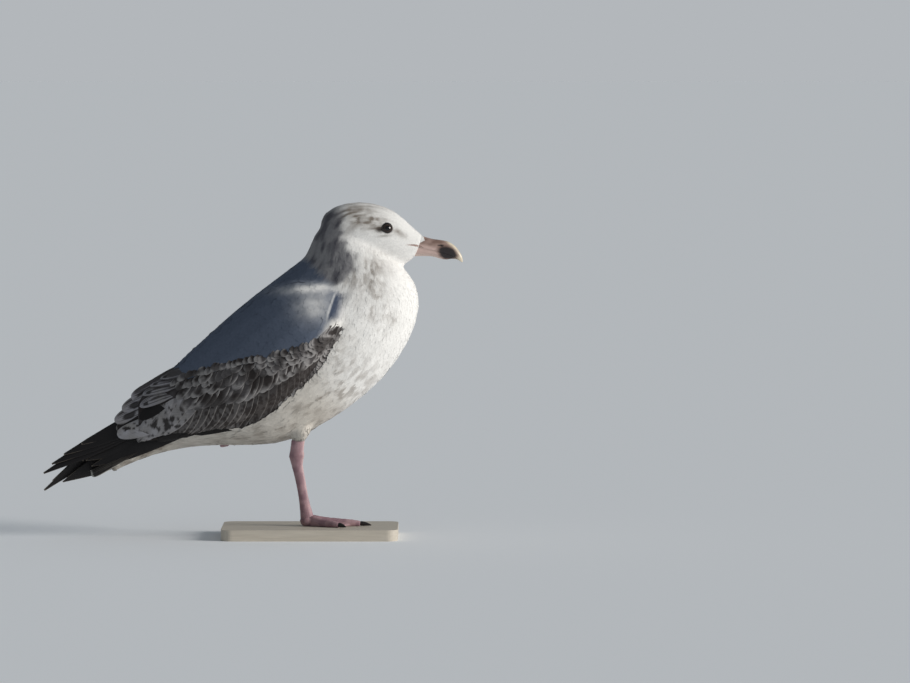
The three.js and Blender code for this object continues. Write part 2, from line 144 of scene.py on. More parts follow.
def curve(table, x):
    """A value at x from pairs, straight between them."""
    xs, ys = zip(*sorted(table))
    return np.interp(x, xs, ys)


def step(low, high, x):
    """A smooth rise from 0 at low to 1 at high, or a fall where high is less than low."""
    f = np.clip((np.asarray(x, float) - low) / (high - low), 0, 1)
    return f * f * (3 - 2 * f)


def mix(a, b, f):
    f = np.asarray(f, float)[..., None]
    return np.asarray(a, float) * (1 - f) + np.asarray(b, float) * f


def unit(v):
    return v / np.maximum(np.linalg.norm(v, axis=-1, keepdims=True), 1e-9)


def noise(p, size, seed=0):
    """Smooth noise from 0 to 1 at points p, with lumps about size across."""
    q = np.asarray(p, float) / np.asarray(size, float) + 31.7 * (seed + 1)
    cell = np.floor(q).astype(np.int64)
    f = q - cell
    f = f * f * (3 - 2 * f)
    total = 0
    for corner in np.ndindex(2, 2, 2):
        k = cell + np.array(corner)
        n = (k[..., 0] * 73856093) ^ (k[..., 1] * 19349663) ^ (k[..., 2] * 83492791) ^ (seed * 2654435761)
        n = (n ^ (n >> 13)) * 1274126177 & 0xFFFFFFFF
        value = ((n ^ (n >> 15)) & 0xFFFF) / 65535
        total = total + value * np.prod(np.where(np.array(corner) == 1, f, 1 - f), axis=-1)
    return total


def srgb(r, g, b):
    """A colour as it is seen, as the shader's linear one."""
    v = np.array([r, g, b]) / 255
    return np.where(v <= 0.04045, v / 12.92, ((v + 0.055) / 1.055) ** 2.4)


def blob(p, x, z, rx, rz, turn=0.0):
    """A soft spot on the bird's side, from 0 to 1."""
    c, s = math.cos(math.radians(turn)), math.sin(math.radians(turn))
    dx, dz = p[..., 0] - x, p[..., 2] - z
    return np.exp(-(((dx * c + dz * s) / rx) ** 2) - ((-dx * s + dz * c) / rz) ** 2)


# ---------------------------------------------------------------- the lie of the coat
# Lines across the bird from bill to tail, each from its lower to its upper outline in the plane of symmetry.
LIE = [
    ((115.5, 293), (122.5, 313)), ((111, 288.5), (108, 326)), ((106, 284), (93, 339)),
    ((102, 281), (74, 347.5)), ((101, 279), (51, 350)), ((103, 275), (29, 346)),
    ((108, 269), (13, 334)), ((114, 259), (5, 318)), ((117.5, 243), (1, 306)),
    ((117, 228), (-3, 295)), ((105, 197), (-9, 287)), ((80, 161), (-20, 278)),
    ((46, 131), (-38, 266)), ((14, 110), (-63, 247)), ((-23, 92), (-92, 223)),
    ((-60, 87), (-121, 195)), ((-95, 87), (-146, 167)), ((-128, 85), (-167, 142)),
    ((-160, 79), (-188, 117)), ((-190, 69), (-206, 90)), ((-214, 58), (-217, 68)),
]
LIE_T = np.linspace(0, len(LIE) - 1, 400)
BELLY = along([a for a, _ in LIE], LIE_T)
BACK = along([b for _, b in LIE], LIE_T)
LIE_LENGTH = np.linalg.norm(BACK - BELLY, axis=1)
BEYOND = 0.12  # how far past the outlines a line still counts, as a share of its length
BEYOND_COST = 60
CHUNK = 20000  # points that are worked out at once


def lie(p):
    """For points p: how far from bill to tail (t), the share from belly to back (u), and the coat's way."""
    t_all, u_all, run_all = [], [], []
    e = BACK - BELLY
    belly_run, back_run = np.gradient(BELLY, axis=0), np.gradient(BACK, axis=0)
    for chunk in np.array_split(p, max(1, len(p) // CHUNK)):
        w = chunk[:, None, [0, 2]] - BELLY[None]
        away = np.abs(e[:, 0] * w[..., 1] - e[:, 1] * w[..., 0]) / LIE_LENGTH
        u = (w * e).sum(-1) / LIE_LENGTH**2
        away += BEYOND_COST * np.maximum(0, np.maximum(-BEYOND - u, u - 1 - BEYOND))
        best = away.argmin(1)
        u = np.take_along_axis(u, best[:, None], 1)[:, 0]
        share = np.clip(u, 0, 1)[:, None]
        run = belly_run[best] * (1 - share) + back_run[best] * share
        t_all.append(LIE_T[best])
        u_all.append(u)
        run_all.append(np.stack([run[:, 0], np.zeros(len(run)), run[:, 1]], 1))
    return np.concatenate(t_all), np.concatenate(u_all), unit(np.concatenate(run_all))


def unwrap(p, t, u):
    """The skin laid out flat: from head to tail across, and round the body up."""
    angle = np.arctan2(p[..., 1], (u - 0.5) * np.interp(t, LIE_T, LIE_LENGTH))
    return np.stack([0.01 + 0.98 * t / (len(LIE) - 1), 0.5 + 0.48 * angle / math.pi], -1)


# ---------------------------------------------------------------- the markings
WHITE = srgb(240, 238, 234)
WARM_WHITE = srgb(204, 197, 186)
DUSKY = srgb(116, 104, 92)
# The grey of the back, with painted shade: darker than the bird's own grey.
MANTLE_SHADED_GREY = srgb(88, 97, 113)
MANTLE_PALE = srgb(116, 123, 135)
# The notch at the bend of the wing: grey feathers, darkened with painted shade of the recess.
NOTCH_SHADED_GREY = srgb(58, 68, 88)
# The hind neck: dark streaks, deepened with painted shade.
NAPE_STREAKS_AND_SHADE = srgb(76, 75, 82)
EYE_LINE = srgb(50, 44, 42)
COVERT_DARK = srgb(44, 38, 36)
COVERT_MID = srgb(76, 72, 72)
COVERT_PALE = srgb(140, 136, 133)
COVERT_RIM = srgb(156, 152, 150)
INNER_PALE = srgb(168, 165, 168)
LILAC = srgb(160, 157, 164)
LOBE_PALE = srgb(168, 166, 171)
SPOT = srgb(36, 31, 29)
QUILL_BLACK = srgb(25, 22, 22)
QUILL_FRINGE = srgb(150, 138, 124)
TAIL_BAND = srgb(44, 38, 35)
TAIL_PALE = srgb(206, 200, 190)
SKIN_SHADE = 0.93  # the skin under the coat, against the coat itself

# The grey of the back ends below in the mottled coverts, and the folded wing ends below in the flank: X, Z.
GREY_EDGE = [(40, 224), (12, 207), (-12, 197), (-38, 190), (-65, 185), (-90, 180), (-113, 173), (-135, 166)]
GREY_EDGE += [(-160, 157), (-190, 146)]
WING_EDGE = [(38, 216), (31, 204), (25, 190), (12, 172), (-7, 153), (-25, 136), (-41, 121), (-66, 109)]
WING_EDGE += [(-104, 105), (-133, 101), (-162, 91), (-200, 84)]
# Upright edges: Z, X.
NAPE_EDGE = [(294, -9), (286, 2), (272, 17), (262, 28), (250, 34), (236, 30), (222, 22), (200, 10)]
HIND_EDGE = [(352, 34), (341, 37), (329, 37), (317, 35), (305, 39), (295, 47), (281, 50), (268, 40)]
HIND_EDGE += [(258, 20)]
NOTCH_EDGE = [(222, 20), (232, 21.5), (244, 25.5), (256, 30)]

# Dusky marks on the white coat: strength, X, Z, half length, half height, turn, and how far grains break it.
MARKS = [
    (0.85, 60, 329.5, 16, 7.5, -6, {"fine": 0.65}),  # over the ear
    (0.55, 44, 333, 12, 9, 0, {"streak": 1}),
    (0.35, 52, 338, 20, 11, -12, {"fine": 0.7}),
    (0.55, 69, 322.4, 8, 1.8, 3, {}),  # behind the eye
    (0.90, 75.5, 321.3, 3.6, 3.2, 0, {}),
    (0.95, 97.5, 316.5, 7.5, 3.2, -35, {"fine": 0.4}),  # between eye and bill
    (0.55, 81, 314.2, 7, 1.5, 6, {}),  # under the eye
    (0.62, 70, 248, 18, 22, 10, {"fine": 0.8, "blotch": 0.7}),  # the side of the neck
    (0.45, 86, 226, 14, 20, -12, {"fine": 1, "blotch": 0.7}),
    (0.40, 34, 180, 18, 36, -28, {"fine": 1, "blotch": 0.7}),  # the breast before the wing
    (0.55, 40, 152, 40, 22, 30, {"dash": 1}),
    (0.75, -40, 107, 20, 6, 8, {"fine": 0.7, "blotch": 1}),  # the flank
    (0.75, -159, 86, 4, 1.5, 25, {}),  # under the tail
    (0.75, -173, 80, 5, 2.2, 28, {}),
    (0.75, -191, 69.5, 3.5, 1.6, 28, {}),
    (0.50, -140, 92, 6, 1.6, 20, {"fine": 1}),
]
NECK_STREAKS = (60, 275, 27, 17, 32)
SMUDGES = [(1.1, 76.0, 321.0, 3.2, 3.0), (0.25, 70, 321.8, 5, 1.3)]  # nearly black, behind the eye
SHOULDER_WASH = [(0.85, 8, 259, 34, 4.5, 4), (0.62, 6, 241, 19, 15)]  # whitish on the grey


def grains(flat, t, u):
    """The grains of the markings, from 0 to 1: flecks and blotches, and streaks and dashes along the lie."""
    strand = np.stack([u * 95, t * 2.3, flat[:, 1] * 0.6], -1)
    return {
        "fine": step(0.4, 0.75, noise(flat, 3.4, 8)),
        "streak": step(0.35, 0.8, noise(strand, (2.4, 1.6, 5.0), 3)),
        "blotch": step(0.42, 0.72, noise(flat, 7.0, 5)),
        "dash": step(0.5, 0.72, noise(strand, (2.0, 0.42, 5.0), 23)),
    }


def white_coat(flat, t, u, grain):
    """The colour of head, neck, breast, belly and rump."""
    fine, streak, blotch, dash = (grain[k] for k in ("fine", "streak", "blotch", "dash"))
    crown = step(1.6, 4.0, t) * step(0.60, 0.80, u) * step(8.4, 6.4, t)
    dusk = 0.50 * crown * (0.25 + 0.75 * streak)
    for strength, x, z, rx, rz, turn, shares in MARKS:
        mark = strength * blob(flat, x, z, rx, rz, turn)
        for name, share in shares.items():
            mark = mark * (1 - share + share * grain[name])
        dusk += mark
    dusk += 0.95 * blob(flat, *NECK_STREAKS) * (0.15 + 0.3 * fine + 0.55 * streak)
    dusk += 0.45 * step(1.75, 1.1, eye_distance(flat)) * step(14, 12, np.abs(flat[:, 0] - EYE[0]))
    under = step(11.4, 13.0, t) * step(0.62, 0.1, u)
    dusk += 0.46 * under * (0.25 + 0.75 * blotch) * (0.4 + 0.6 * dash)
    side = step(10.2, 11.6, t) * step(0.16, 0.5, u)
    dusk += 0.30 * side * (0.2 + 0.4 * fine + 0.4 * dash)
    rump = step(17.2, 18.2, t)
    bars = 0.5 + 0.5 * np.sin(t * 9.5 + 2.0 * noise(flat, 12, 2))
    dusk += 0.42 * rump * step(0.55, 0.9, bars)
    ground = mix(WHITE, WARM_WHITE, np.clip(0.9 * under + 0.4 * side + 0.3 * rump, 0, 1))
    colour = mix(ground, DUSKY, np.clip(dusk, 0, 0.92))
    smudge = sum(strength * blob(flat, *place) for strength, *place in SMUDGES)
    return mix(colour, EYE_LINE, np.clip(smudge, 0, 0.88))


def markings(p, t, u, wing=True, back=False):
    """At points p, alike on both sides: the colour, and the shares of the grey back and of the folded wing.

    The skin shows the wing's brown, and the coat leaves it out. The feathers of the back stay grey where
    they hang over the wing.
    """
    flat = p.copy()
    flat[:, 1] = np.abs(p[:, 1])
    x, z = flat[:, 0], flat[:, 2]
    grain = grains(flat, t, u)
    colour = white_coat(flat, t, u, grain)
    # The hind neck darkened: its streaks, and painted shade.
    hind = step(5, -4, x - curve(HIND_EDGE, z) + 8 * (noise(flat, (6, 9, 5), 41) - 0.5))
    hind = hind * step(257, 266, z) * step(4.3, 5.6, t)
    colour = mix(colour, NAPE_STREAKS_AND_SHADE, hind * (0.80 + 0.18 * grain["streak"]))

    below = z - curve(GREY_EDGE, x)
    front = curve(NAPE_EDGE, z) + 7 * (noise(flat, 6, 4) - 0.5)
    grey = step(5, -7, x - front) * step(8.4, 9.4, t + 2 * (u - 0.8))
    if not back:
        grey *= step(-3, 5, below + 6 * (noise(flat, 9, 6) - 0.5))
    pale = sum(strength * blob(flat, *place) for strength, *place in SHOULDER_WASH)
    # The back's grey carries painted shade, and is paler in lumps low on the side.
    tone = mix(MANTLE_SHADED_GREY, MANTLE_PALE, 0.5 * noise(flat, (26, 26, 26), 9) * step(0.8, 0.2, u))
    tone = mix(tone, WHITE, np.clip(pale * (0.7 + 0.3 * grain["fine"]), 0, 0.9))
    colour = mix(colour, tone, grey)
    past = x - curve(NOTCH_EDGE, z)
    tall = step(221, 230, z) * step(258, 250, z)
    # The notch at the bend of the wing: painted shade of its recess over grey, with a white edge behind it.
    colour = mix(colour, NOTCH_SHADED_GREY, 0.95 * step(0, 1.2, past) * step(21, 3, past) * tall)
    colour = mix(colour, WHITE, 0.5 * step(-2.8, -1.2, past) * step(0.6, -0.6, past) * tall)

    on_wing = step(-3, 2, z - curve(WING_EDGE, x)) * step(42, 34, x)
    if wing:
        brown = mix(COVERT_MID, COVERT_DARK, grain["blotch"] * 0.8)
        colour = mix(colour, brown, step(9, 4, below) * on_wing)
    return colour, grey, step(2, -3, below) * on_wing


# ---------------------------------------------------------------- meshes
def read(collection, attribute, width, kind=np.float32):
    """An attribute of all a mesh's points, edges or corners, as rows of width."""
    values = np.zeros(len(collection) * width, kind)
    collection.foreach_get(attribute, values)
    return values.reshape(-1, width)


def in_metres(p):
    """Points of the bird's space as the flat row of numbers that a mesh takes."""
    return ((np.asarray(p, float) + (0, 0, SOLE)) * MM).astype(np.float32).ravel()


def bird_points(mesh):
    return read(mesh.vertices, "co", 3).astype(float) / MM - (0, 0, SOLE)


def bird_normals(mesh):
    return read(mesh.vertex_normals, "vector", 3).astype(float)


def set_points(mesh, p):
    mesh.vertices.foreach_set("co", in_metres(p))
    mesh.update()


def paint(mesh, colours):
    layer = mesh.color_attributes.new("Col", "FLOAT_COLOR", "POINT")
    rgba = np.ones((len(mesh.vertices), 4), np.float32)
    rgba[:, :3] = np.clip(colours, 0, 1)
    layer.data.foreach_set("color", rgba.ravel())


def add_uv(mesh, name, pairs):
    """A UV map from one pair for each point."""
    corner = read(mesh.loops, "vertex_index", 1, np.int32)[:, 0]
    uv = pairs.reshape(-1, 2).astype(np.float32)[corner]
    mesh.uv_layers.new(name=name).data.foreach_set("uv", uv.ravel())


def to_object(name, points, faces, colours, normals=None, uvs=None):
    """A smooth mesh object from arrays in the bird's space, its faces a list of arrays of 3 or 4 corners."""
    mesh = bpy.data.meshes.new(name)
    points = points.reshape(-1, 3)
    sizes = np.concatenate([np.full(len(f), f.shape[1]) for f in faces])
    corners = np.concatenate([f.ravel() for f in faces])
    mesh.vertices.add(len(points))
    mesh.vertices.foreach_set("co", in_metres(points))
    mesh.loops.add(len(corners))
    mesh.loops.foreach_set("vertex_index", corners.astype(np.int32))
    mesh.polygons.add(len(sizes))
    mesh.polygons.foreach_set("loop_start", (np.cumsum(sizes) - sizes).astype(np.int32))
    mesh.update(calc_edges=True)
    mesh.polygons.foreach_set("use_smooth", np.ones(len(sizes), bool))
    paint(mesh, colours.reshape(-1, 3))
    for layer, pairs in (uvs or {}).items():
        add_uv(mesh, layer, pairs)
    mesh.validate()
    if normals is not None:
        mesh.normals_split_custom_set_from_vertices(unit(normals.reshape(-1, 3)).tolist())
    return add_object(name, mesh)


def numbered(*counts):
    """The numbers of points that lie in grids."""
    return np.arange(math.prod(counts)).reshape(counts)


def quads(index):
    """Faces between neighbours in grids of point numbers, whose last two axes run along and across."""
    corners = [index[..., :-1, :-1], index[..., 1:, :-1], index[..., 1:, 1:], index[..., :-1, 1:]]
    return np.stack(corners, -1).reshape(-1, 4)


def ring_quads(index):
    """Faces between the rows of a grid of point numbers, where each row is a ring."""
    after = np.roll(index, -1, 1)
    return np.stack([index[:-1], after[:-1], after[1:], index[1:]], -1).reshape(-1, 4)


def closed_quads(index):
    """The faces of grids made into thin closed bodies, whose underside's points follow the top's."""
    below = index + index.size
    top = quads(index)
    faces = [top, top[:, ::-1] + index.size]
    edges = [(index[:, :, 0], below[:, :, 0], -1), (index[:, :, -1], below[:, :, -1], 1)]
    edges += [(index[:, 0, :], below[:, 0, :], 1), (index[:, -1, :], below[:, -1, :], -1)]
    for a, b, turn in edges:
        rim = np.stack([a[:, :-1], a[:, 1:], b[:, 1:], b[:, :-1]], -1).reshape(-1, 4)
        faces.append(rim[:, ::turn])
    return faces


def apply_modifiers(obj):
    done = bpy.data.meshes.new_from_object(obj.evaluated_get(bpy.context.evaluated_depsgraph_get()))
    obj.modifiers.clear()
    old = obj.data
    obj.data = done
    bpy.data.meshes.remove(old)
    done.name = obj.name


def remesh(obj, size, smooth=0):
    """Makes one closed surface of all that a mesh holds, and smooths it a number of times."""
    m = obj.modifiers.new("remesh", "REMESH")
    m.mode = "VOXEL"
    m.voxel_size = size * MM
    m.use_smooth_shade = True
    if smooth:
        obj.modifiers.new("smooth", "SMOOTH").iterations = smooth
    apply_modifiers(obj)


def grown_copy(name, nodes, grow, clip):
    """Copies of CAD nodes as one object, each cut off at its plane, if it has one, and grown a little."""
    bm = bmesh.new()
    for node in nodes:
        part = bmesh.new()
        part.from_mesh(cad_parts[node].data)
        bmesh.ops.remove_doubles(part, verts=part.verts, dist=1e-6)
        if node in clip:
            place, beyond = clip[node]
            plane = (Vector(beyond) * -place + Vector((0, 0, SOLE))) * MM
            all_of_it = part.verts[:] + part.edges[:] + part.faces[:]
            way = {"plane_co": plane, "plane_no": beyond, "clear_outer": True}
            cut = bmesh.ops.bisect_plane(part, geom=all_of_it, **way)["geom_cut"]
            edges = [g for g in cut if isinstance(g, bmesh.types.BMEdge)]
            bmesh.ops.holes_fill(part, edges=edges)
        part.normal_update()
        for v in part.verts:
            v.co += v.normal * grow * MM
        scratch = bpy.data.meshes.new("scratch")
        part.to_mesh(scratch)
        bm.from_mesh(scratch)
        part.free()
        bpy.data.meshes.remove(scratch)
    mesh = bpy.data.meshes.new(name)
    bm.to_mesh(mesh)
    bm.free()
    return add_object(name, mesh)


def add_ball(obj, centre, radii):
    """Joins an egg-shaped lump to a mesh."""
    bm = bmesh.new()
    bm.from_mesh(obj.data)
    made = bmesh.ops.create_icosphere(bm, subdivisions=3, radius=MM)
    for v in made["verts"]:
        v.co = Vector(centre) * MM + Vector((0, 0, SOLE * MM)) + Vector(a * b for a, b in zip(v.co, radii))
    bm.to_mesh(obj.data)
    bm.free()


def keep_largest(obj):
    """Deletes all but the largest connected piece of a mesh."""
    a, b = read(obj.data.edges, "vertices", 2, np.int32).T
    group = np.arange(len(obj.data.vertices))
    while (group[a] != group[b]).any():
        low = np.minimum(group[a], group[b])
        np.minimum.at(group, a, low)
        np.minimum.at(group, b, low)
        group = group[group]
    loose = group != np.bincount(group).argmax()
    bm = bmesh.new()
    bm.from_mesh(obj.data)
    bmesh.ops.delete(bm, geom=[v for v, out in zip(bm.verts, loose) if out], context="VERTS")
    bm.to_mesh(obj.data)
    bm.free()


# ---------------------------------------------------------------- materials
class Look:
    """A material under construction, with short calls for its nodes."""

    def __init__(self, name, roughness, specular):
        self.material = bpy.data.materials.new(name)
        self.material.use_nodes = True
        self.nodes = self.material.node_tree.nodes
        self.links = self.material.node_tree.links
        self.shader = self.nodes["Principled BSDF"]
        self.shader.inputs["Roughness"].default_value = roughness
        self.shader.inputs["Specular IOR Level"].default_value = specular

    def node(self, kind, vector=None, **settings):
        """A new node, with its own settings or its sockets' values, and a vector linked to it."""
        made = self.nodes.new("ShaderNode" + kind)
        for key, value in settings.items():
            if hasattr(made, key):
                setattr(made, key, value)
            else:
                made.inputs[key.replace("_", " ").title()].default_value = value
        if vector:
            self.links.new(vector, made.inputs["Vector"])
        return made

    def place(self, scale=(1, 1, 1)):
        """Positions on the object in metres, times scale."""
        return self.node("Mapping", self.node("TexCoord").outputs["Object"], scale=scale).outputs["Vector"]

    def noise(self, vector, scale):
        return self.node("TexNoise", vector, scale=scale, detail=3.0).outputs["Fac"]

    def span(self, value, low, high, to_low, to_high):
        made = self.node("MapRange", from_min=low, from_max=high, to_min=to_low, to_max=to_high)
        self.links.new(value, made.inputs["Value"])
        return made.outputs["Result"]

    def scaled(self, colour, value):
        """A colour made lighter or darker by a value about 1."""
        made = self.node("VectorMath", operation="SCALE")
        self.links.new(colour, made.inputs[0])
        self.links.new(value, made.inputs["Scale"])
        return made.outputs["Vector"]

    def painted(self, value):
        """The colour that is painted on the points, times a value about 1."""
        return self.scaled(self.node("Attribute", attribute_name="Col").outputs["Color"], value)

    def bump(self, height, strength, distance):
        made = self.node("Bump", strength=strength, distance=distance)
        self.links.new(height, made.inputs["Height"])
        self.links.new(made.outputs["Normal"], self.shader.inputs["Normal"])

    def colour(self, socket):
        self.links.new(socket, self.shader.inputs["Base Color"])


FLECK = (0.3, 0.7)  # where most of a noise texture's values lie


def painted(name, roughness, specular, grain, strength, distance, vary=0.08, stretch=(1, 1, 1)):
    """A look whose colour is painted on the points, with a fine grain in tone and relief."""
    look = Look(name, roughness, specular)
    fleck = look.noise(look.place(stretch), grain)
    look.colour(look.painted(look.span(fleck, *FLECK, 1 - vary, 1 + vary)))
    look.bump(fleck, strength, distance)
    return look


def vane_look(name, roughness=0.62, specular=0.25):
    """Large feathers: painted colour, with barbs that run slantwise from the shaft."""
    look = Look(name, roughness, specular)
    uv = look.node("UVMap", uv_map="Vane").outputs["UV"]
    wave = look.node("TexWave", uv, scale=1.6, distortion=1.5, detail=2.0)
    wave.wave_type = "BANDS"
    wave.bands_direction = "DIAGONAL"
    fleck = look.noise(look.place(), 420)
    barbs = look.painted(look.span(wave.outputs["Fac"], 0, 1, 0.96, 1.03))
    look.colour(look.scaled(barbs, look.span(fleck, *FLECK, 0.94, 1.06)))
    look.bump(wave.outputs["Fac"], 0.35, 0.0002)
    return look


def skin_look(name, roughness, specular, cell, strength, distance, vary=0.1):
    """Scaly bare skin: painted colour with small rounded scales."""
    look = Look(name, roughness, specular)
    place = look.place()
    scales = look.node("TexVoronoi", place, scale=cell, feature="DISTANCE_TO_EDGE")
    plate = look.span(scales.outputs["Distance"], 0.0, 0.25, 0, 1)
    look.colour(look.painted(look.span(plate, 0, 1, 1 - vary, 1 + 0.4 * vary)))
    look.bump(plate, strength, distance)
    look.shader.inputs["Subsurface Weight"].default_value = 0.04
    look.shader.inputs["Subsurface Radius"].default_value = (0.004, 0.0015, 0.001)
    rough = look.span(look.noise(place, 900), *FLECK, roughness - 0.08, roughness + 0.08)
    look.links.new(rough, look.shader.inputs["Roughness"])
    return look


def finish_piece(obj, look, slot, *nodes):
    """Gives a piece its material and body, and the CAD nodes that it stands for."""
    obj.data.materials.append(look.material)
    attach(obj, "root")
    if nodes:
        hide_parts(*nodes)


# ---------------------------------------------------------------- the skin
FLESH = ["head", "neck", "trunk", "wing_right", "wing_left"]
FILLING = ["eye_right", "eye_left", "primaries_right", "primaries_left", "tail"]
FILLING += ["thigh_right", "shank_left", "foot_left"]
BEHIND = -1, 0, 0
BELOW = 0, 0, -1
# What of a node the skin leaves out: all beyond a place, and which way beyond is.
CLIP = {"tail": (-206, BEHIND), "thigh_right": (95, BELOW), "shank_left": (-88, BEHIND)}
CLIP |= dict.fromkeys(("wing_right", "wing_left", "primaries_right", "primaries_left"), (-186, BEHIND))
JOINING = 0.45  # how far the solids of the flesh are grown so that they run together
# The feathered thigh: egg-shaped lumps that taper from the belly down to the bare leg.
THIGH = [((-10, -19.5, 104), (11.5, 9, 10)), ((-12, -18, 97.5), (9.2, 7.4, 7.5))]
EYE = np.array([82.5, 14.4, 321.5])
EYE_RADIUS = 8.0
EYE_FACING = unit(np.array([0.24, 0.96, 0.12]))
LID = (4.7, 4.15)  # half the opening between the lids, along and across
# The depth of the coat along the lie, from bill to tail.
DEPTH = [(0, 0.45), (1, 0.5), (4, 0.6), (6, 0.7), (9, 0.75), (11, 0.85), (14, 1.05), (17, 1.2), (19, 1.1)]
DEPTH += [(20, 0.9)]
COARSE = 2.0  # the skin's voxels at first
FINE = 1.6  # and at last
SUNK_FIRST = 0.2  # how much deeper than the coat the skin is sunk before the last remesh
SETTLING = 12  # rounds of evening out when the skin is brought back to its depth
SOCKET = 14  # how far the dent round an eye reaches


def eye_frame(side):
    """The eye's centre and its ways forward, up and out, on one side."""
    mirror = np.array([1, side, 1])
    out = EYE_FACING * mirror
    ahead = unit(np.array([1, 0, 0]) - out * out[0])
    return EYE * mirror, ahead, unit(np.array([0, 0, 1]) - out * out[2] - ahead * ahead[2]), out


def eye_distance(p):
    """How far points are from the nearer eye's axis, in openings of the lids."""
    q = p * np.where(p[:, 1:2] > 0, (1, 1, 1), (1, -1, 1))
    centre, ahead, up, _ = eye_frame(LEFT)
    return np.hypot((q - centre) @ ahead / LID[0], (q - centre) @ up / LID[1])


def coat_depth(t, u):
    """How deep the skin lies under the tips of the coat."""
    return curve(DEPTH, t) * (1 - 0.2 * step(0.6, 0.8, u) * step(8, 9, t))


def back_to_depth(mesh, outer):
    """Undoes the shrinking that smoothing causes: moves the skin to its depth under the outer surface."""
    p, n = bird_points(mesh), bird_normals(mesh)
    t, u, _ = lie(p)
    found = np.array([outer.find_nearest(Vector(v))[0] for v in p])
    gap = np.clip(((found - p) * n).sum(1) - coat_depth(t, u) - JOINING, -0.8, 4)
    a, b = read(mesh.edges, "vertices", 2, np.int32).T
    links = np.bincount(a, minlength=len(p)) + np.bincount(b, minlength=len(p))
    for _ in range(SETTLING):
        around = np.bincount(a, gap[b], len(p)) + np.bincount(b, gap[a], len(p))
        gap = around / np.maximum(links, 1)
    return p + n * gap[:, None]


def make_skin():
    """The solids of flesh run together, sunk by the depth of the coat, with a dent for each eye."""
    skin = grown_copy("skin", FLESH + FILLING, JOINING, CLIP)
    for thigh in THIGH:
        add_ball(skin, *thigh)
    remesh(skin, COARSE)
    faces = [tuple(f.vertices) for f in skin.data.polygons]
    outer = BVHTree.FromPolygons([Vector(v) for v in bird_points(skin.data)], faces)
    remesh(skin, COARSE, smooth=5)
    p = bird_points(skin.data)
    t, u, _ = lie(p)
    set_points(skin.data, p - bird_normals(skin.data) * (coat_depth(t, u) + SUNK_FIRST)[:, None])
    remesh(skin, FINE, smooth=3)
    keep_largest(skin)
    p = back_to_depth(skin.data, outer)
    ring = eye_distance(p)
    near = np.linalg.norm((p - EYE) * (1, 0, 1), axis=1) < SOCKET
    dent = 0.5 * step(2.0, 1.1, ring) + 1.6 * step(1.1, 0.8, ring)
    p[:, 1] -= np.sign(p[:, 1]) * dent * near
    set_points(skin.data, p)
    t, u, _ = lie(p)
    paint(skin.data, markings(p, t, u)[0] * SKIN_SHADE)
    add_uv(skin.data, "OFBake", unwrap(p, t, u))
    skin.data.polygons.foreach_set("use_smooth", np.ones(len(skin.data.polygons), bool))
    finish_piece(skin, painted("skin", 0.85, 0.15, 500, 0.3, 0.0006), "white_plumage", *FLESH)
    return skin


FAR = 200  # a place well outside the bird's side
NEAR = 30  # a place about as far out as the body is wide
CLEARANCE = 0.8, 14  # where a look outwards from a root starts, and how far it goes


class Ground:
    """A surface to lay feathers on, with smooth normals."""

    def __init__(self, obj):
        self.mesh = obj.data
        self.points = bird_points(self.mesh)
        faces = [tuple(f.vertices) for f in self.mesh.polygons]
        self.tree = BVHTree.FromPolygons([Vector(v) for v in self.points], faces)
        vertex_normals = bird_normals(self.mesh)
        self.normals = np.array([vertex_normals[list(f)].mean(0) for f in faces])

    def nearest(self, p):
        found = [self.tree.find_nearest(Vector(v)) for v in p.reshape(-1, 3)]
        q = np.array([f[0] for f in found]).reshape(p.shape)
        return q, unit(self.normals[[f[2] for f in found]]).reshape(p.shape)

    def from_side(self, x, z, side):
        """Where a line from the bird's side meets the surface at (x, z)."""
        out = np.zeros((len(x), 3))
        for i, (a, b) in enumerate(zip(x, z)):
            hit = self.tree.ray_cast(Vector((a, side * FAR, b)), Vector((0, -side, 0)))[0]
            if hit is None or hit.y * side <= -2:
                hit = self.tree.find_nearest(Vector((a, side * NEAR, b)))[0]
            out[i] = hit
        return out

    def uncovered(self, roots):
        """The roots that have nothing of the surface close over them."""
        q, n = self.nearest(roots)
        rays = zip(q + n * CLEARANCE[0], n)
        return roots[[self.tree.ray_cast(Vector(a), Vector(b), CLEARANCE[1])[0] is None for a, b in rays]]

    def sample(self, spacing_at, count):
        """Roots spread over the surface, no closer than their spacing, out of count tries."""
        self.mesh.calc_loop_triangles()
        corners = read(self.mesh.loop_triangles, "vertices", 3, np.int32)
        a, b, c = (self.points[corners[:, k]] for k in range(3))
        spacing = spacing_at((a + b + c) / 3)
        area = np.linalg.norm(np.cross(b - a, c - a), axis=1) / 2
        weight = np.where(spacing > 0, area / np.maximum(spacing, 0.1) ** 2, 0)
        pick = rng.choice(len(corners), size=count, p=weight / weight.sum())
        r1 = np.sqrt(rng.random(count))[:, None]
        r2 = rng.random(count)[:, None]
        p = a[pick] * (1 - r1) + b[pick] * r1 * (1 - r2) + c[pick] * r1 * r2
        radius = spacing[pick]
        tree = KDTree(count)
        for i, v in enumerate(p):
            tree.insert(Vector(v), i)
        tree.balance()
        gone = np.zeros(count, bool)
        for i, v in enumerate(p):
            if not gone[i]:
                close = [j for _, j, _ in tree.find_range(Vector(v), radius[i]) if j > i]
                gone[close] = True
        return p[~gone]


# ---------------------------------------------------------------- feathers
def thigh_share(p):
    """From 0 to 1, how much a point belongs to the feathered thigh that stands out of the belly."""
    return np.exp(-(((p[:, 0] + 11) / 11) ** 2) - ((p[:, 1] + 18) / 11) ** 2 - ((p[:, 2] - 99) / 9) ** 2)


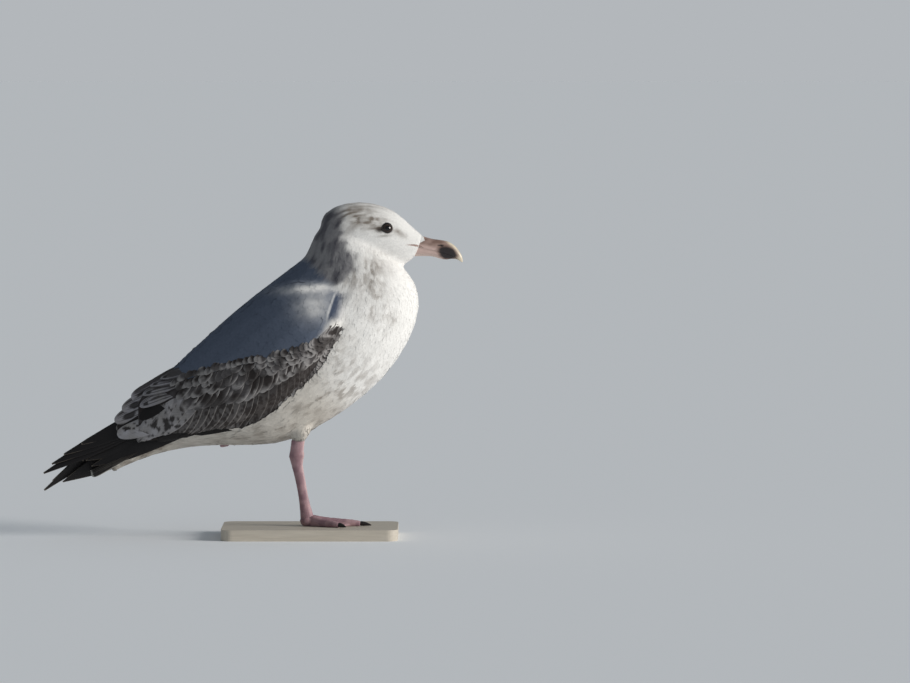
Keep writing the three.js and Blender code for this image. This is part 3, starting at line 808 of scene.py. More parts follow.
def heading(p, n, turn):
    """The way the coat lies at p on the skin, turned by turn: down on the thigh."""
    thigh = np.clip(2 * thigh_share(p), 0, 1)[:, None]
    run = unit(lie(p)[2] * (1 - thigh) + np.array([-0.1, 0, -1]) * thigh)
    way = unit(run - n * (run * n).sum(1, keepdims=True))
    return way * np.cos(turn)[:, None] + np.cross(n, way) * np.sin(turn)[:, None]


def lay(ground, roots, turn, length, stations):
    """Centre lines of feathers from their roots along the lie of the coat, with their normals and ways."""
    p, n = ground.nearest(roots)
    rows = []
    for _ in range(stations):
        way = heading(p, n, turn)
        rows.append((p, n, way))
        p, n = ground.nearest(p + way * (length / (stations - 1))[:, None])
    return tuple(np.stack(k, 1) for k in zip(*rows))


SOFT = (0.5, 0.9, 1.0, 0.86, 0.45)  # a tuft's width along it
BROAD = (0.5, 0.85, 1.0, 0.98, 0.62)
PATCH = 0.003  # the size of a tuft's place on the map
VARY = 0.10  # how much tufts differ in length and width
SUNK = 0.15  # how deep a tuft's root lies in the skin
CURVED = 0.05  # how far its sides bend down, as a share of its width


def tufts(name, ground, roots, plan, stations, across, look, outline=SOFT, ragged=1, spread=0.025, own=0.5):
    """Small feathers over the skin.

    plan gives their length, width, rise and how far they stray from the lie. outline is their width along
    them, ragged how frayed their ends are, spread how much their tones differ, and own how far each keeps
    one colour where the markings change under it.
    """
    back = plan is mantle_plan
    t, u, _ = lie(roots)
    length, width, rise, stray = plan(roots, t, u)
    count = len(roots)
    length = length * rng.normal(1, VARY, count).clip(0.7, 1.3)
    width = width * rng.normal(1, VARY, count).clip(0.7, 1.3)
    rise = rise * rng.normal(1, 0.04, count).clip(0.85, 1.15)
    turn = rng.normal(0, 1, count) * stray
    lines, normals, ways = lay(ground, roots, turn, length, stations)
    f = np.linspace(0, 1, stations)[None, :, None]
    g = np.linspace(-1, 1, across)[None, None, :]
    shape = along(outline, f * 4)
    side = np.cross(normals, ways)[:, :, None, :]
    up = normals[:, :, None, :]
    lift = rise[:, None, None] * (2.1 * f - 1.15 * f**2) - SUNK
    lift = lift - CURVED * width[:, None, None] * shape * g**2
    fray = rng.uniform(-0.14, 0.05, (count, 1, across)) * ragged - 0.13 * g**2
    reach = fray * step(0.6, 1.0, f) * length[:, None, None]
    points = lines[:, :, None, :] + side * (width[:, None, None] / 2 * shape * g)[..., None]
    points = points + up * lift[..., None] + ways[:, :, None, :] * reach[..., None]
    shade = np.broadcast_to(unit(up + side * (0.05 * g)[..., None]), points.shape)

    def marked(p):
        return markings(p, *lie(p)[:2], False, back)[0]

    whole = marked(lines[:, stations // 2])[:, None, None, :]
    here = marked(points.reshape(-1, 3)).reshape(points.shape)
    colour = (whole * own + here * (1 - own)) * rng.normal(1, spread, (count, 1, 1, 1))
    colour = colour * (0.95 + 0.06 * f + 0.02 * g**2)[..., None]
    spot = np.stack(np.broadcast_arrays((f - 0.5) * PATCH, g * PATCH / 2), -1)
    uv = unwrap(roots, t, u)[:, None, None, :] + spot
    faces = [quads(numbered(count, stations, across))]
    obj = to_object(name, points, faces, colour, shade, {"OFBake": uv})
    finish_piece(obj, look, "grey_plumage" if back else "white_plumage")


def vane_outline(f, root=0.45, fullest=0.55, tip=0.5):
    """A broad feather's width along it, from 0 to 1: narrow at the root, and round at the tip."""
    rise = root + (1 - root) * step(0, fullest, f)
    round_part = np.clip((f - (1 - tip)) / tip, 0, 1)
    return np.maximum(rise * np.sqrt(np.maximum(1 - round_part**2.6, 0)), 0.03)


def table_outline(halves):
    """A width along a feather from half widths at even places."""
    return lambda f: np.maximum(along(halves, np.asarray(f) * (len(halves) - 1)) / max(halves), 0.05)


STIFF_CAMBER = 0.04  # how far a stiff feather's sides bend down, as a share of its width
LAID_THICK = 0.15  # how much thicker a laid feather is along its shaft
VANE_THICK = 0.12
SHINGLE = 0.35  # how far a laid feather's upper edge lies over the next one
SMOOTHING = 9  # stations over which a laid feather's line is evened out


class Vanes:
    """Broad feathers gathered into one piece, each a grid with its pattern painted on."""

    def __init__(self, name, look, slot, stations, across):
        self.name, self.look, self.slot = name, look, slot
        self.f = np.linspace(0, 1, stations)[:, None] * np.ones((1, across))
        self.g = np.linspace(-1, 1, across)[None, :] * np.ones((stations, 1))
        self.grids = []
        self.ups = []
        self.thick = []
        self.colours = []
        self.vane_uv = []

    def keep(self, grid, ups, thick, pattern, g, length, width, side, spread):
        """Takes in a feather: its points, the ways up along it, and its pattern, the same on both sides."""
        self.grids.append(grid)
        self.ups.append(ups)
        self.thick.append(thick)
        self.colours.append(pattern(self.f, g, grid * (1, side, 1)) * rng.normal(1, spread))
        self.vane_uv.append(np.stack([self.f * length / 10, g * width / 20], -1))

    def fly(self, path, across_way, width, pattern, outline, thick, side=1):
        """A stiff feather along a path through the air, its broad way near across_way."""
        f = self.f[:, 0]
        lines = along(path, f * (len(path) - 1))
        way = unit(np.gradient(lines, axis=0))
        flat = np.array(across_way, float)
        sides = unit(flat - way * (way @ flat)[:, None])
        ups = unit(np.cross(way, sides))
        upright = abs(ups[:, 1].mean()) > 0.3
        if (ups[:, 1].mean() * side if upright else ups[:, 2].mean()) < 0:
            sides, ups = -sides, -ups
        length = np.linalg.norm(np.diff(lines, axis=0), axis=1).sum()
        half = width / 2 * outline(self.f)
        lift = -STIFF_CAMBER * width * self.g**2 * outline(self.f)
        grid = lines[:, None, :] + sides[:, None, :] * (half * self.g)[..., None]
        grid = grid + ups[:, None, :] * lift[..., None]
        self.keep(grid, ups, thick, pattern, self.g, length, width, side, 0.04)

    def drape(self, ground, start, end, side, width, lift, pattern, bow=0.0):
        """A feather laid on the skin, from start to end as seen from the side, and lifted along it."""
        f, g = self.f[:, 0], self.g[0]
        run = np.array(end) - np.array(start)
        bend = np.array([-run[1], run[0]]) * (bow * np.sin(math.pi * f))[:, None]
        line = np.array(start) + run * f[:, None] + bend
        hits = ground.from_side(line[:, 0], line[:, 1], side)
        padded = np.pad(hits[:, 1], SMOOTHING // 2, mode="edge")
        hits[:, 1] = np.convolve(padded, np.ones(SMOOTHING) / SMOOTHING, mode="valid")
        _, n = ground.nearest(hits)
        sideways = unit(np.cross(n, unit(np.gradient(hits, axis=0))))
        half = width / 2 * vane_outline(f)
        grid, n = ground.nearest(hits[:, None, :] + sideways[:, None, :] * (half[:, None] * g)[..., None])
        rise = lift[0] + (lift[1] - lift[0]) * f[:, None] ** 0.8
        shingle = SHINGLE * g[None, :] * -side * step(0, 0.3, f)[:, None]
        grid = grid + n * (rise + shingle)[..., None]
        ups = n[:, len(g) // 2]
        length = math.dist(start, end)
        self.keep(grid, ups, LAID_THICK, pattern, self.g * -side, length, width, side, 0.05)

    def build(self, *nodes):
        """Makes the piece: each feather a closed body, thickest along its shaft and at its root."""
        grids = np.stack(self.grids)
        count = len(grids)
        f, g = self.f, self.g
        thick = np.array(self.thick)[:, None, None] * (1 - 0.75 * g**2) * (1 - 0.6 * f)
        below = grids - np.stack(self.ups)[:, :, None, :] * (VANE_THICK + thick)[..., None]
        points = np.concatenate([grids, below])
        colours = np.stack(self.colours)
        colours = np.concatenate([colours, 0.9 * colours])
        side = math.ceil(math.sqrt(count))
        cell = np.stack([np.arange(count) % side, np.arange(count) // side], -1)[:, None, None, :] / side
        uv = (cell + np.stack([f * 0.92 + 0.04, g * 0.46 + 0.5], -1) / side) * (1, 0.5)
        uvs = {"OFBake": np.concatenate([uv, uv + (0, 0.5)]), "Vane": np.stack(self.vane_uv * 2)}
        obj = to_object(self.name, points, closed_quads(numbered(count, *f.shape)), colours, None, uvs)
        finish_piece(obj, self.look, self.slot, *nodes)


# ---------------------------------------------------------------- the soft coat
# Length and width of the feathers along the lie, from bill to tail.
LENGTH = [(0, 2.6), (1, 3.2), (2, 4.2), (3, 5), (4, 6), (5, 7.5), (6, 9), (8, 11), (10, 14), (12, 17)]
LENGTH += [(16, 18), (18, 22), (19, 13), (20, 6)]
WIDTH = [(0, 0.9), (1, 1.0), (2, 1.2), (3, 1.4), (4, 1.7), (5, 2.1), (6, 2.6), (8, 3.2), (10, 3.9)]
WIDTH += [(12, 4.4), (16, 4.6), (18, 5), (20, 2.6)]
COVER = 6.5  # how many tufts lie over each point
TRIES = 1.6  # the area that each root takes when roots are spread at random, in squares of their spacing
WING_FRONT = [(138, -23), (150, -10), (172, 12), (190, 25), (204, 31), (216, 38)]  # Z, X
RIDGE = [(40, 30), (-14, 24), (-43, 17), (-72, 13), (-101, 10), (-129, 8), (-200, 7)]  # X, half width
OVER_WING = 1.5  # how much further the feathers of the flank stand out where they overlap the folded wing
TUCKED_TOES = -84, 90.5  # X, and the Z below which the left foot needs room
MANTLE_SPACING = 3.9
MANTLE_REAR = -132, -150  # where the back's feathers end, beside the wing and on the ridge
# Pieces of the coat: where each starts and ends along the lie, and the stations of its tufts.
BANDS = [("face", 0, 3.6, 4), ("crown", 3.6, 6.5, 5), ("neck", 6.5, 10, 5), ("breast", 10, 14, 6)]
BANDS += [("vent", 14, 21, 6)]


def coat_plan(p, t, u):
    x, z = p[:, 0], p[:, 2]
    bend = step(15, 5, np.abs(x - curve(WING_FRONT, z))) * step(150, 163, z) * step(230, 222, z)
    length = curve(LENGTH, t) * (1 - 0.35 * thigh_share(p)) * (1 - 0.5 * bend)
    fluff = step(12, 14, t) * step(0.5, 0.1, u)
    beside = step(16, 3, np.abs(z - curve(WING_EDGE, x))) * step(24, 12, x) * step(-84, -60, x)
    rise = coat_depth(t, u) * (1 + 0.1 * fluff) + OVER_WING * np.maximum(beside, bend) * step(208, 198, z)
    return length, curve(WIDTH, t), rise, 0.09 + 0.05 * fluff


def on_flank(p):
    """Whether a point is on the wing's side of the bird and not on its back or rump."""
    return step(0, 4, np.abs(p[:, 1]) - curve(RIDGE, p[:, 0])) > 0.5


def soft_spacing(p):
    """Room for the coat's tufts: none on the wing, under the mantle, at the eyes or over the tucked foot."""
    t, u, _ = lie(p)
    x, z = p[:, 0], p[:, 2]
    length, width, _, _ = coat_plan(p, t, u)
    _, grey, panel = markings(p, t, u)
    spacing = np.sqrt(length * width * 0.7 / COVER / TRIES)
    low = curve(WING_EDGE, x)
    on_wing = (panel > 0.02) | (x < -120) & (z > low)
    by_mantle = (x < 34) & (z > low + 1) & (z < curve(GREY_EDGE, x) + 12)
    spacing[(grey > 0.6) | (on_wing | by_mantle) & on_flank(p)] = 0
    spacing[(np.abs(x - TUCKED_TOES[0]) < 9) & (p[:, 1] > 0) & (z < TUCKED_TOES[1])] = 0
    spacing[(eye_distance(p) < 1.15) & (np.abs(x - EYE[0]) < 12)] = 0
    return spacing


def mantle_spacing(p):
    t, u, _ = lie(p)
    _, grey, panel = markings(p, t, u, back=True)
    low = p[:, 2] < curve(GREY_EDGE, p[:, 0]) - 3
    rear = p[:, 0] < np.where(on_flank(p), *MANTLE_REAR)
    return np.where((grey < 0.25) | (panel > 0.5) | low | rear, 0, MANTLE_SPACING)


def mantle_plan(p, t, u):
    low = step(0.8, 0.3, u)
    return 16 + 7 * low, 8 + 2 * low, np.full(len(p), 0.9), 0.05


def make_coat(ground):
    look = painted("plumage", 0.9, 0.1, 700, 0.25, 0.0004, 0.06)
    look.shader.inputs["Sheen Weight"].default_value = 0.12
    look.shader.inputs["Sheen Roughness"].default_value = 0.6
    roots = ground.uncovered(ground.sample(soft_spacing, 150000))
    t = lie(roots)[0]
    for name, low, high, stations in BANDS:
        tufts("coat_" + name, ground, roots[(t >= low) & (t < high)], coat_plan, stations, 3, look)


def make_mantle(ground):
    roots = ground.uncovered(ground.sample(mantle_spacing, 14000))
    look = vane_look("mantle", 0.8, 0.15)
    tufts("coat_mantle", ground, roots, mantle_plan, 7, 7, look, BROAD, 0.12, 0.012, 0.15)


# ---------------------------------------------------------------- patterns of the large feathers
# Each takes the shares along and across a feather, and its points on the bird's left side.
def edge_share(f, g, run=2.2):
    """How far a point of a vane is from its rim, from 0 on the rim."""
    return np.minimum(1 - np.abs(g) ** 1.6, (1 - f) * run)


def lesser_pattern(f, g, p):
    """A dark blotch along the middle, with soft and uneven pale edges."""
    rim = step(0.75, 0.12, edge_share(f, g, 2.0) + 0.55 * (noise(p, 3.2, 12) - 0.5))
    dark = mix(COVERT_MID, COVERT_DARK, step(0.25, 0.6, noise(p, 10, 13)))
    strength = 0.15 + 0.85 * step(0.35, 0.65, noise(p, (11, 9, 7), 26))
    return mix(dark, COVERT_RIM, 0.9 * rim * strength)


def greater_pattern(f, g, p):
    """Brownish, with dark notches that break up a thin pale edge."""
    edge = edge_share(f, g, 3)
    rear = step(-20, -90, p[..., 0])
    light = 0.25 + 0.6 * rear * noise(p, 14, 15) + 0.15 * rear
    base = mix(COVERT_DARK, mix(COVERT_MID, COVERT_PALE, 0.30), light)
    colour = mix(base, COVERT_PALE, 0.8 * step(0.42, 0.12, edge) * (0.10 + 0.75 * rear))
    notches = step(0.46, 0.60, noise(p, (2.6, 4, 2.4), 14)) * step(0.0, 0.06, edge)
    return mix(colour, COVERT_DARK, 0.85 * notches)


def inner_pattern(f, g, p):
    """Pale, with dark spots."""
    spot = step(0.60, 0.70, noise(p, (3.6, 5, 2.9), 16)) * step(0.02, 0.16, edge_share(f, g, 3))
    base = mix(COVERT_PALE, INNER_PALE, noise(p, 9, 17))
    base = mix(base, COVERT_MID, 0.5 * step(0.5, 0.75, noise(p, 5, 27)) * step(0.8, 0.4, f))
    return mix(base, SPOT, 0.92 * spot)


def tertial_pattern(f, g, p, dark=0.45):
    """Lilac grey with dark streaks along the feather, a dark blotch before the tip, and a thin dark rim."""
    streaks = noise(np.stack([f * 6, g * 5, 0 * g], -1), (2.2, 0.6, 1), 31)
    lump = noise(p, (4, 5, 2.6), 18)
    base = mix(COVERT_PALE, LILAC, noise(p, 8, 28))
    shade = step(0.72 - dark * 0.6, 0.85 - dark * 0.5, streaks) * step(0.99, 0.9, f)
    base = mix(base, COVERT_DARK, 0.85 * shade * step(0.2, 0.5, lump + 0.5 * dark))
    blotch = np.exp(-(((f - 0.84) / 0.07) ** 2) - ((g - 0.15) / 0.45) ** 2)
    base = mix(base, SPOT, 0.9 * step(0.3, 0.6, blotch + 0.3 * (lump - 0.5)))
    return mix(base, COVERT_DARK, 0.7 * step(0.16, 0.05, edge_share(f, g, 6)) * step(0.95, 0.8, f))


def stripe_pattern(f, g, p):
    """The feather over the lowest one: spotted at its root and black beyond, with a thin pale edge."""
    rim = step(0.20, 0.05, edge_share(f, g, 6) + 0.2 * (noise(p, (3, 5, 2), 33) - 0.5))
    black = mix(mix(QUILL_BLACK, COVERT_DARK, noise(p, 9, 34)), COVERT_PALE, 0.75 * rim)
    beyond = step(0.46, 0.54, f - 0.10 * np.abs(g) + 0.1 * (noise(p, 4, 35) - 0.5))
    return mix(inner_pattern(f, g, p), black, beyond)


def lobe_pattern(f, g, p):
    """The lowest tertial: pale, with a broken dark line along its upper half."""
    line = step(0.50, 0.62, noise(p, (3.2, 5, 2.6), 29)) * step(0.05, 0.25, edge_share(f, g, 3))
    line = line * step(0.75, 0.35, np.abs(g + 0.25))
    return mix(mix(COVERT_PALE, LOBE_PALE, noise(p, 7, 28)), SPOT, 0.95 * line)


def black_pattern(f, g, p):
    return QUILL_BLACK * (0.9 + 0.3 * noise(p, 10, 20))[..., None]


def dark_pattern(f, g, p):
    """Black with a thin pale fringe at the tip."""
    rim = step(0.16, 0.04, edge_share(f, g, 6)) * step(0.8, 0.97, f)
    return mix(black_pattern(f, g, p), QUILL_FRINGE, 0.8 * rim)


def tail_pattern(f, g, p, rim_share=0.15):
    """A broad dark band between a pale base and a thin pale tip."""
    lump = noise(p, 3.2, 21)
    tip = step(0.955, 0.985, f + 0.03 * (lump - 0.5))
    bars = step(0.5, 0.8, lump) * step(0.30, 0.5, f)
    band = step(0.12, 0.26, f + 0.16 * (lump - 0.5))
    rim = step(0.9, 0.98, np.abs(g)) * step(0.4, 0.6, f) * rim_share
    colour = mix(TAIL_PALE, TAIL_BAND, np.clip(band + 0.6 * bars, 0, 0.96))
    return mix(colour, TAIL_PALE, np.clip(tip + rim, 0, 0.95))


# ---------------------------------------------------------------- the folded wings
# The lower and upper lines of the coverts: X, Z.
WING_LOW = [(33, 214), (26, 192), (12, 171), (-9, 152), (-33, 130), (-66, 109), (-104, 104), (-135, 100)]
WING_LOW += [(-165, 90), (-190, 83)]
WING_HIGH = [(34, 224), (12, 206), (-12, 196), (-38, 190), (-65, 186), (-90, 180), (-113, 173), (-135, 166)]
WING_HIGH += [(-160, 157), (-182, 146)]
# Each row of coverts: shares of the way from the wing's lower to its upper line at root and tip, how far
# they run back, where the row starts and ends, how many there are, their width, and their lift at root
# and tip.
ROWS = [
    ("greater", 0.53, -0.01, 0.13, 0.03, 0.72, 24, 13, 0.2, 1.0),
    ("inner", 0.84, 0.14, 0.20, 0.63, 0.82, 7, 18, -0.6, 1.3),
    ("median", 0.76, 0.40, 0.11, 0.0, 0.70, 22, 13, 0.4, 1.4),
    ("lesser", 0.90, 0.62, 0.09, 0.0, 0.72, 25, 11.5, 0.5, 1.6),
    ("lesser", 1.00, 0.78, 0.08, 0.0, 0.74, 28, 10.5, -0.5, 1.8),
    ("lesser", 1.10, 0.91, 0.09, 0.0, 0.76, 30, 9.5, -1.3, 1.9),
]
PATTERNS = {"greater": greater_pattern, "inner": inner_pattern}
PATTERNS |= {"median": lesser_pattern, "lesser": lesser_pattern}
# Edges of flight feathers that show under the coverts, each from its front to its rear end, and its width.
STRIP = [((-80, 107.5), (-140, 100.5), 6), ((-94, 107), (-164, 95.5), 10), ((-110, 105.5), (-182, 89), 11)]
STRIP_LIFT = (1.0, 2.6)
# The rear scapulars over the tertials: start and end, width, lift at root and tip, and pattern.
SCAPULARS = [
    ((-146, 139), (-183.5, 117), 15, -0.5, 0.7, black_pattern),
    ((-138, 148), (-183, 130), 14, -0.9, 1.5, partial(tertial_pattern, dark=0.35)),
    ((-134, 157), (-180, 142), 14, -0.9, 1.9, partial(tertial_pattern, dark=0.5)),
    ((-130, 165), (-172, 151), 14, -0.9, 2.2, partial(tertial_pattern, dark=0.65)),
    ((-124, 172), (-160, 159), 13, -0.8, 2.5, partial(tertial_pattern, dark=0.8)),
]
# The small feathers down the wing's front edge.
MARGINALS = 30
MARGINAL_TOP = 215
MARGINAL_FALL = 76
MARGINAL_RUN = np.array([-12.5, -8.0])
MARGINAL_WIDTH = 8
MARGINAL_LIFT = (-0.7, 1.6)


def wing_place(s, v):
    """A place on the wing's side: s from front to rear, and v from the lower to the upper line."""
    low = along(WING_LOW, s * (len(WING_LOW) - 1))
    high = along(WING_HIGH, s * (len(WING_HIGH) - 1))
    return low * (1 - v) + high * v


def make_wings(ground, look):
    for side, label in SIDES.items():
        large = Vanes("greater_coverts_" + label, look, "mottled_plumage", 36, 15)
        small = Vanes("lesser_coverts_" + label, look, "mottled_plumage", 27, 13)
        for kind, v0, v1, back, s0, s1, count, width, rise0, rise1 in ROWS:
            piece = small if kind in ("median", "lesser") else large
            for k in range(count):
                loose = 2.2 if kind == "lesser" and k > 4 else 1
                s = s0 + (s1 - s0) * (k + 0.5 + rng.normal(0, 0.12 * loose)) / count
                start = wing_place(s, v0)
                end = wing_place(min(s + back, 1), v1 + rng.normal(0, 0.012 * loose))
                size = width * rng.normal(1, 0.05 * loose)
                lift = (rise0, rise1 + rng.normal(0, 0.08))
                bow = 0.05 if kind == "greater" else 0.03
                piece.drape(ground, start, end, side, size, lift, PATTERNS[kind], bow)
        for start, end, width in STRIP:
            large.drape(ground, start, end, side, width, STRIP_LIFT, black_pattern)
        for start, end, width, rise0, rise1, pattern in SCAPULARS:
            large.drape(ground, start, end, side, width, (rise0, rise1), pattern, bow=-0.03)
        for k in range(MARGINALS):
            z = MARGINAL_TOP - MARGINAL_FALL * k / MARGINALS
            start = np.array([curve(WING_FRONT, z), z])
            end = start + MARGINAL_RUN * rng.normal(1, 0.1)
            small.drape(ground, start, end, side, MARGINAL_WIDTH, MARGINAL_LIFT, lesser_pattern)
        large.build()
        small.build()


# ---------------------------------------------------------------- tertials, flight feathers and tail
TERTIALS = [
    [(-84, -26, 187), (-116, -20.5, 176), (-146, -15.5, 161), (-172, -12, 147), (-193, -8, 138.5)],
    [(-90, -28, 179), (-121, -23, 168), (-151, -18, 152), (-179, -13.5, 137), (-203, -8.5, 126)],
    [(-95, -30, 168), (-125, -25.5, 157), (-156, -20, 141), (-186, -14.5, 125), (-211, -9.5, 113.5)],
    [(-99, -33, 160), (-127, -29.5, 145), (-156, -24.5, 129), (-186, -18, 114), (-209, -12, 105)],
    [(-100, -36, 150), (-128, -33, 133), (-156, -28.5, 117), (-186, -22, 106), (-208, -15.5, 99.5)],
]
TERTIAL_PATTERNS = [partial(tertial_pattern, dark=0.8), tertial_pattern, tertial_pattern]
TERTIAL_PATTERNS += [stripe_pattern, lobe_pattern]
SECONDARIES = [
    [(-104, -33, 117), (-140, -28, 104), (-174, -21, 90), (-206, -14, 77), (-236, -9.5, 65)],
    [(-110, -31, 122), (-148, -25, 108), (-182, -18, 95), (-214, -12, 82), (-242, -8.5, 71)],
    [(-118, -29, 128), (-156, -22, 114), (-190, -15, 101), (-220, -10, 89), (-248, -8, 79)],
]
# One more flight feather, which shows under the lower tip of the left wing.
LOW_LEFT = [(-118, -27, 114), (-156, -20, 99), (-194, -13, 83), (-230, -7, 65.5), (-268, -4, 47)]
PRIMARY_ROOT = (-150, -17, 132)
PRIMARIES = [(-288, -4, 57), (-279, -5, 67), (-266, -6, 77.5), (-247, -7, 89), (-226, -8, 100)]  # their tips
PRIMARY_HALF = table_outline([9, 11, 10, 6.5, 1])
SECONDARY_HALF = table_outline([5, 8, 9, 7.5, 0.5])
LEFT_DROOP = 19
TAIL_ROOT = (-172, 0, 96)
TAIL_TIP = (-238, 0, 60)
TAIL_FEATHERS = 12
TAIL_WIDTH = 43.2  # between the outermost tips
TAIL_OUTLINE = partial(vane_outline, root=0.5, fullest=0.6, tip=0.18)


def make_quills(look, soft_look):
    """On each wing, the flight feathers as one piece and the tertials over them as another."""
    for side, label in SIDES.items():
        lean = (-0.45, -0.4 * side, 0.75)
        piece = Vanes("flight_feathers_" + label, look, "dark_plumage", 44, 11)
        droop = LEFT_DROOP if side == LEFT else 0
        f = np.linspace(0, 1, 6)[:, None]
        for tip in PRIMARIES:
            path = np.array(PRIMARY_ROOT) * (1 - f) + np.array(tip) * f
            path[:, 2] -= np.sin(math.pi * f[:, 0]) + droop * f[:, 0] ** 2
            path[:, 1] *= -side
            piece.fly(path, lean, 22, dark_pattern, PRIMARY_HALF, 0.55, side)
        for path in SECONDARIES + [LOW_LEFT] * (side == LEFT):
            points = np.array(path, float) * (1, -side, 1)
            width = 24 if path is LOW_LEFT else 17
            piece.fly(points, (-0.4, -0.15 * side, 0.9), width, dark_pattern, SECONDARY_HALF, 0.4, side)
        piece.build("primaries_" + label)
        piece = Vanes("tertials_" + label, soft_look, "mottled_plumage", 72, 25)
        for path, pattern in zip(TERTIALS, TERTIAL_PATTERNS):
            points = np.array(path, float) * (1, -side, 1) + np.array([0, 0.4 * side, 0.3])
            piece.fly(points, lean, 22, pattern, vane_outline, 0.6, side)
        piece.build()


def make_tail(look):
    """A slightly rounded fan, whose outermost feathers have the palest rims."""
    piece = Vanes("tail_feathers", look, "dark_plumage", 40, 11)
    f = np.linspace(0, 1, 5)[:, None]
    for i in np.linspace(-1, 1, TAIL_FEATHERS):
        path = np.array(TAIL_ROOT) * (1 - f) + np.array([TAIL_TIP[0] + 2.8 * abs(i), 0, TAIL_TIP[2]]) * f
        path[:, 1] = i * TAIL_WIDTH / 2 * (0.45 + 0.55 * f[:, 0])
        path[:, 2] -= 4.8 * abs(i)
        pattern = partial(tail_pattern, rim_share=0.75) if abs(i) > 0.9 else tail_pattern
        piece.fly(path, (0, 1, -0.35 * i), 18, pattern, TAIL_OUTLINE, 0.3)
    piece.build("tail")


# ---------------------------------------------------------------- bill
# Lines of the closed bill from its base to its tip: X, Z, and the half width.
CULMEN = [(119, 314), (131, 310.5), (141, 309), (149, 307.3), (156, 303), (161, 297), (164.2, 291)]
CULMEN += [(165, 285.5)]
TOMIUM = [(101, 304.6), (114, 302), (127, 299.4), (137, 297.2), (146, 294.8), (154, 292.2), (160, 288.5)]
TOMIUM += [(164, 284.8)]
GONYS = [(104, 290.6), (114, 291.4), (123, 291.6), (132, 291.2), (141, 288.8), (147, 287.9), (153, 288.8)]
GONYS += [(158, 289.8)]
BILL_HALF = [7.6, 7.4, 6.7, 5.8, 5, 4, 2.6, 0.8]
BILL_RINGS = 80
BILL_POINTS = 44  # in each ring, of which some are in the bite
BITE_POINTS = 8
NOSTRIL = (141, 303.2)
BILL_PINK = srgb(210, 182, 172)
BILL_PALE = srgb(226, 206, 194)
BILL_BROWN = srgb(130, 106, 96)
BILL_DARK = srgb(34, 29, 31)
# Painted shade inside the nostril.
NOSTRIL_SHADE = srgb(26, 20, 20)
IVORY = srgb(216, 203, 180)
# The bare strip over the gape: X, and the Z of its upper and lower edges.
GAPE = [(103.3, 304.4, 304.0), (108, 305.3, 302.9), (114, 305.6, 301.5), (119, 303.6, 300.7)]
GAPE += [(123, 300.6, 300.4)]
# The lower edge of the feathers on the base of the upper half: X, Z.
BILL_FEATHERS = [(108, 305.2), (114, 305.3), (120, 306.0), (124.6, 308.0)]


def mandible(name, ridge, edge, share, side):
    """One half of the bill, from ridge to cutting edge: a rounded roof, and a flat floor in the bite."""
    t = np.linspace(0, 1, BILL_RINGS)
    outer, inner = along(ridge, t * 7), along(edge, t * 7)
    half = along(BILL_HALF, t * 7) * share
    angle = np.linspace(-math.pi / 2, math.pi / 2, BILL_POINTS - BITE_POINTS)
    roof = np.stack([np.sign(angle) * np.abs(np.sin(angle)) ** 0.9, np.cos(angle) ** 0.8], -1)
    floor = np.stack([np.linspace(0.9, -0.9, BITE_POINTS), np.full(BITE_POINTS, -0.06)], -1)
    ring = np.concatenate([roof, floor])
    a = np.broadcast_to(ring[:, 1], (BILL_RINGS, BILL_POINTS))
    flat = inner[:, None] * (1 - a)[..., None] + outer[:, None] * a[..., None]
    p = np.stack([flat[..., 0], half[:, None] * ring[:, 0], flat[..., 1]], -1)
    colour = bill_colour(p, a, side)
    if side > 0:
        dx, dz = p[..., 0] - NOSTRIL[0], p[..., 2] - NOSTRIL[1]
        slot = step(1.25, 0.8, np.hypot(dx, 4.2 * (dz + 0.12 * dx)) / 3.2)
        slot = slot * step(0.3, 0.6, np.abs(ring[:, 0]))
        groove = blob(p, NOSTRIL[0] - 10, NOSTRIL[1] + 1.4, 12, 1.3, -8)
        p[..., 1] -= np.sign(p[..., 1]) * (0.9 * slot + 0.35 * groove)
        # Painted shade in the nostril's slit.
        colour = mix(colour, NOSTRIL_SHADE, 0.95 * slot)
    index = numbered(BILL_RINGS, BILL_POINTS)
    faces = [ring_quads(index)]
    p, colour = p.reshape(-1, 3), colour.reshape(-1, 3)
    for end in (index[0], index[-1][::-1]):
        faces.append(np.stack([np.roll(end, -1), end, np.full(BILL_POINTS, len(p))], -1))
        p = np.concatenate([p, p[end].mean(0, keepdims=True)])
        colour = np.concatenate([colour, colour[end].mean(0, keepdims=True)])
    if side > 0:
        faces = [f[:, ::-1] for f in faces]
    return to_object(name, p, faces, colour)


def bill_colour(p, a, side):
    """Pink at the base and brown along the ridge, then a black patch across both halves, and a pale tip."""
    x, z = p[..., 0], p[..., 2]
    lump = noise(p, (4, 6, 3), 30)
    base = mix(BILL_PINK, BILL_BROWN, (side > 0) * step(0.08, 0.5, a) * (0.85 + 0.5 * (lump - 0.5)))
    base = mix(base, BILL_PALE, 0.6 * step(0.5, 1.0, a) * (side < 0))
    base = mix(base, IVORY, step(147, 156, x + 4 * step(0.75, 0.98, a) * side))
    patch = np.hypot((x - 148.6) / 10, (z - 295.4 + 0.2 * (x - 148.6)) / 7) + 0.18 * (lump - 0.5)
    base = mix(base, BILL_BROWN, 0.8 * step(1.45, 1.0, patch))
    return mix(base, BILL_DARK, 0.97 * step(1.12, 0.78, patch))


def outermost(grounds, x, z, side):
    """How far from the plane of symmetry the outermost of some surfaces lies at (x, z)."""
    out = np.zeros(x.shape)
    for i in np.ndindex(*x.shape):
        rays = [g.tree.ray_cast(Vector((x[i], side * 60, z[i])), Vector((0, -side, 0)))[0] for g in grounds]
        out[i] = max([hit.y * side for hit in rays if hit is not None], default=0)
    return out


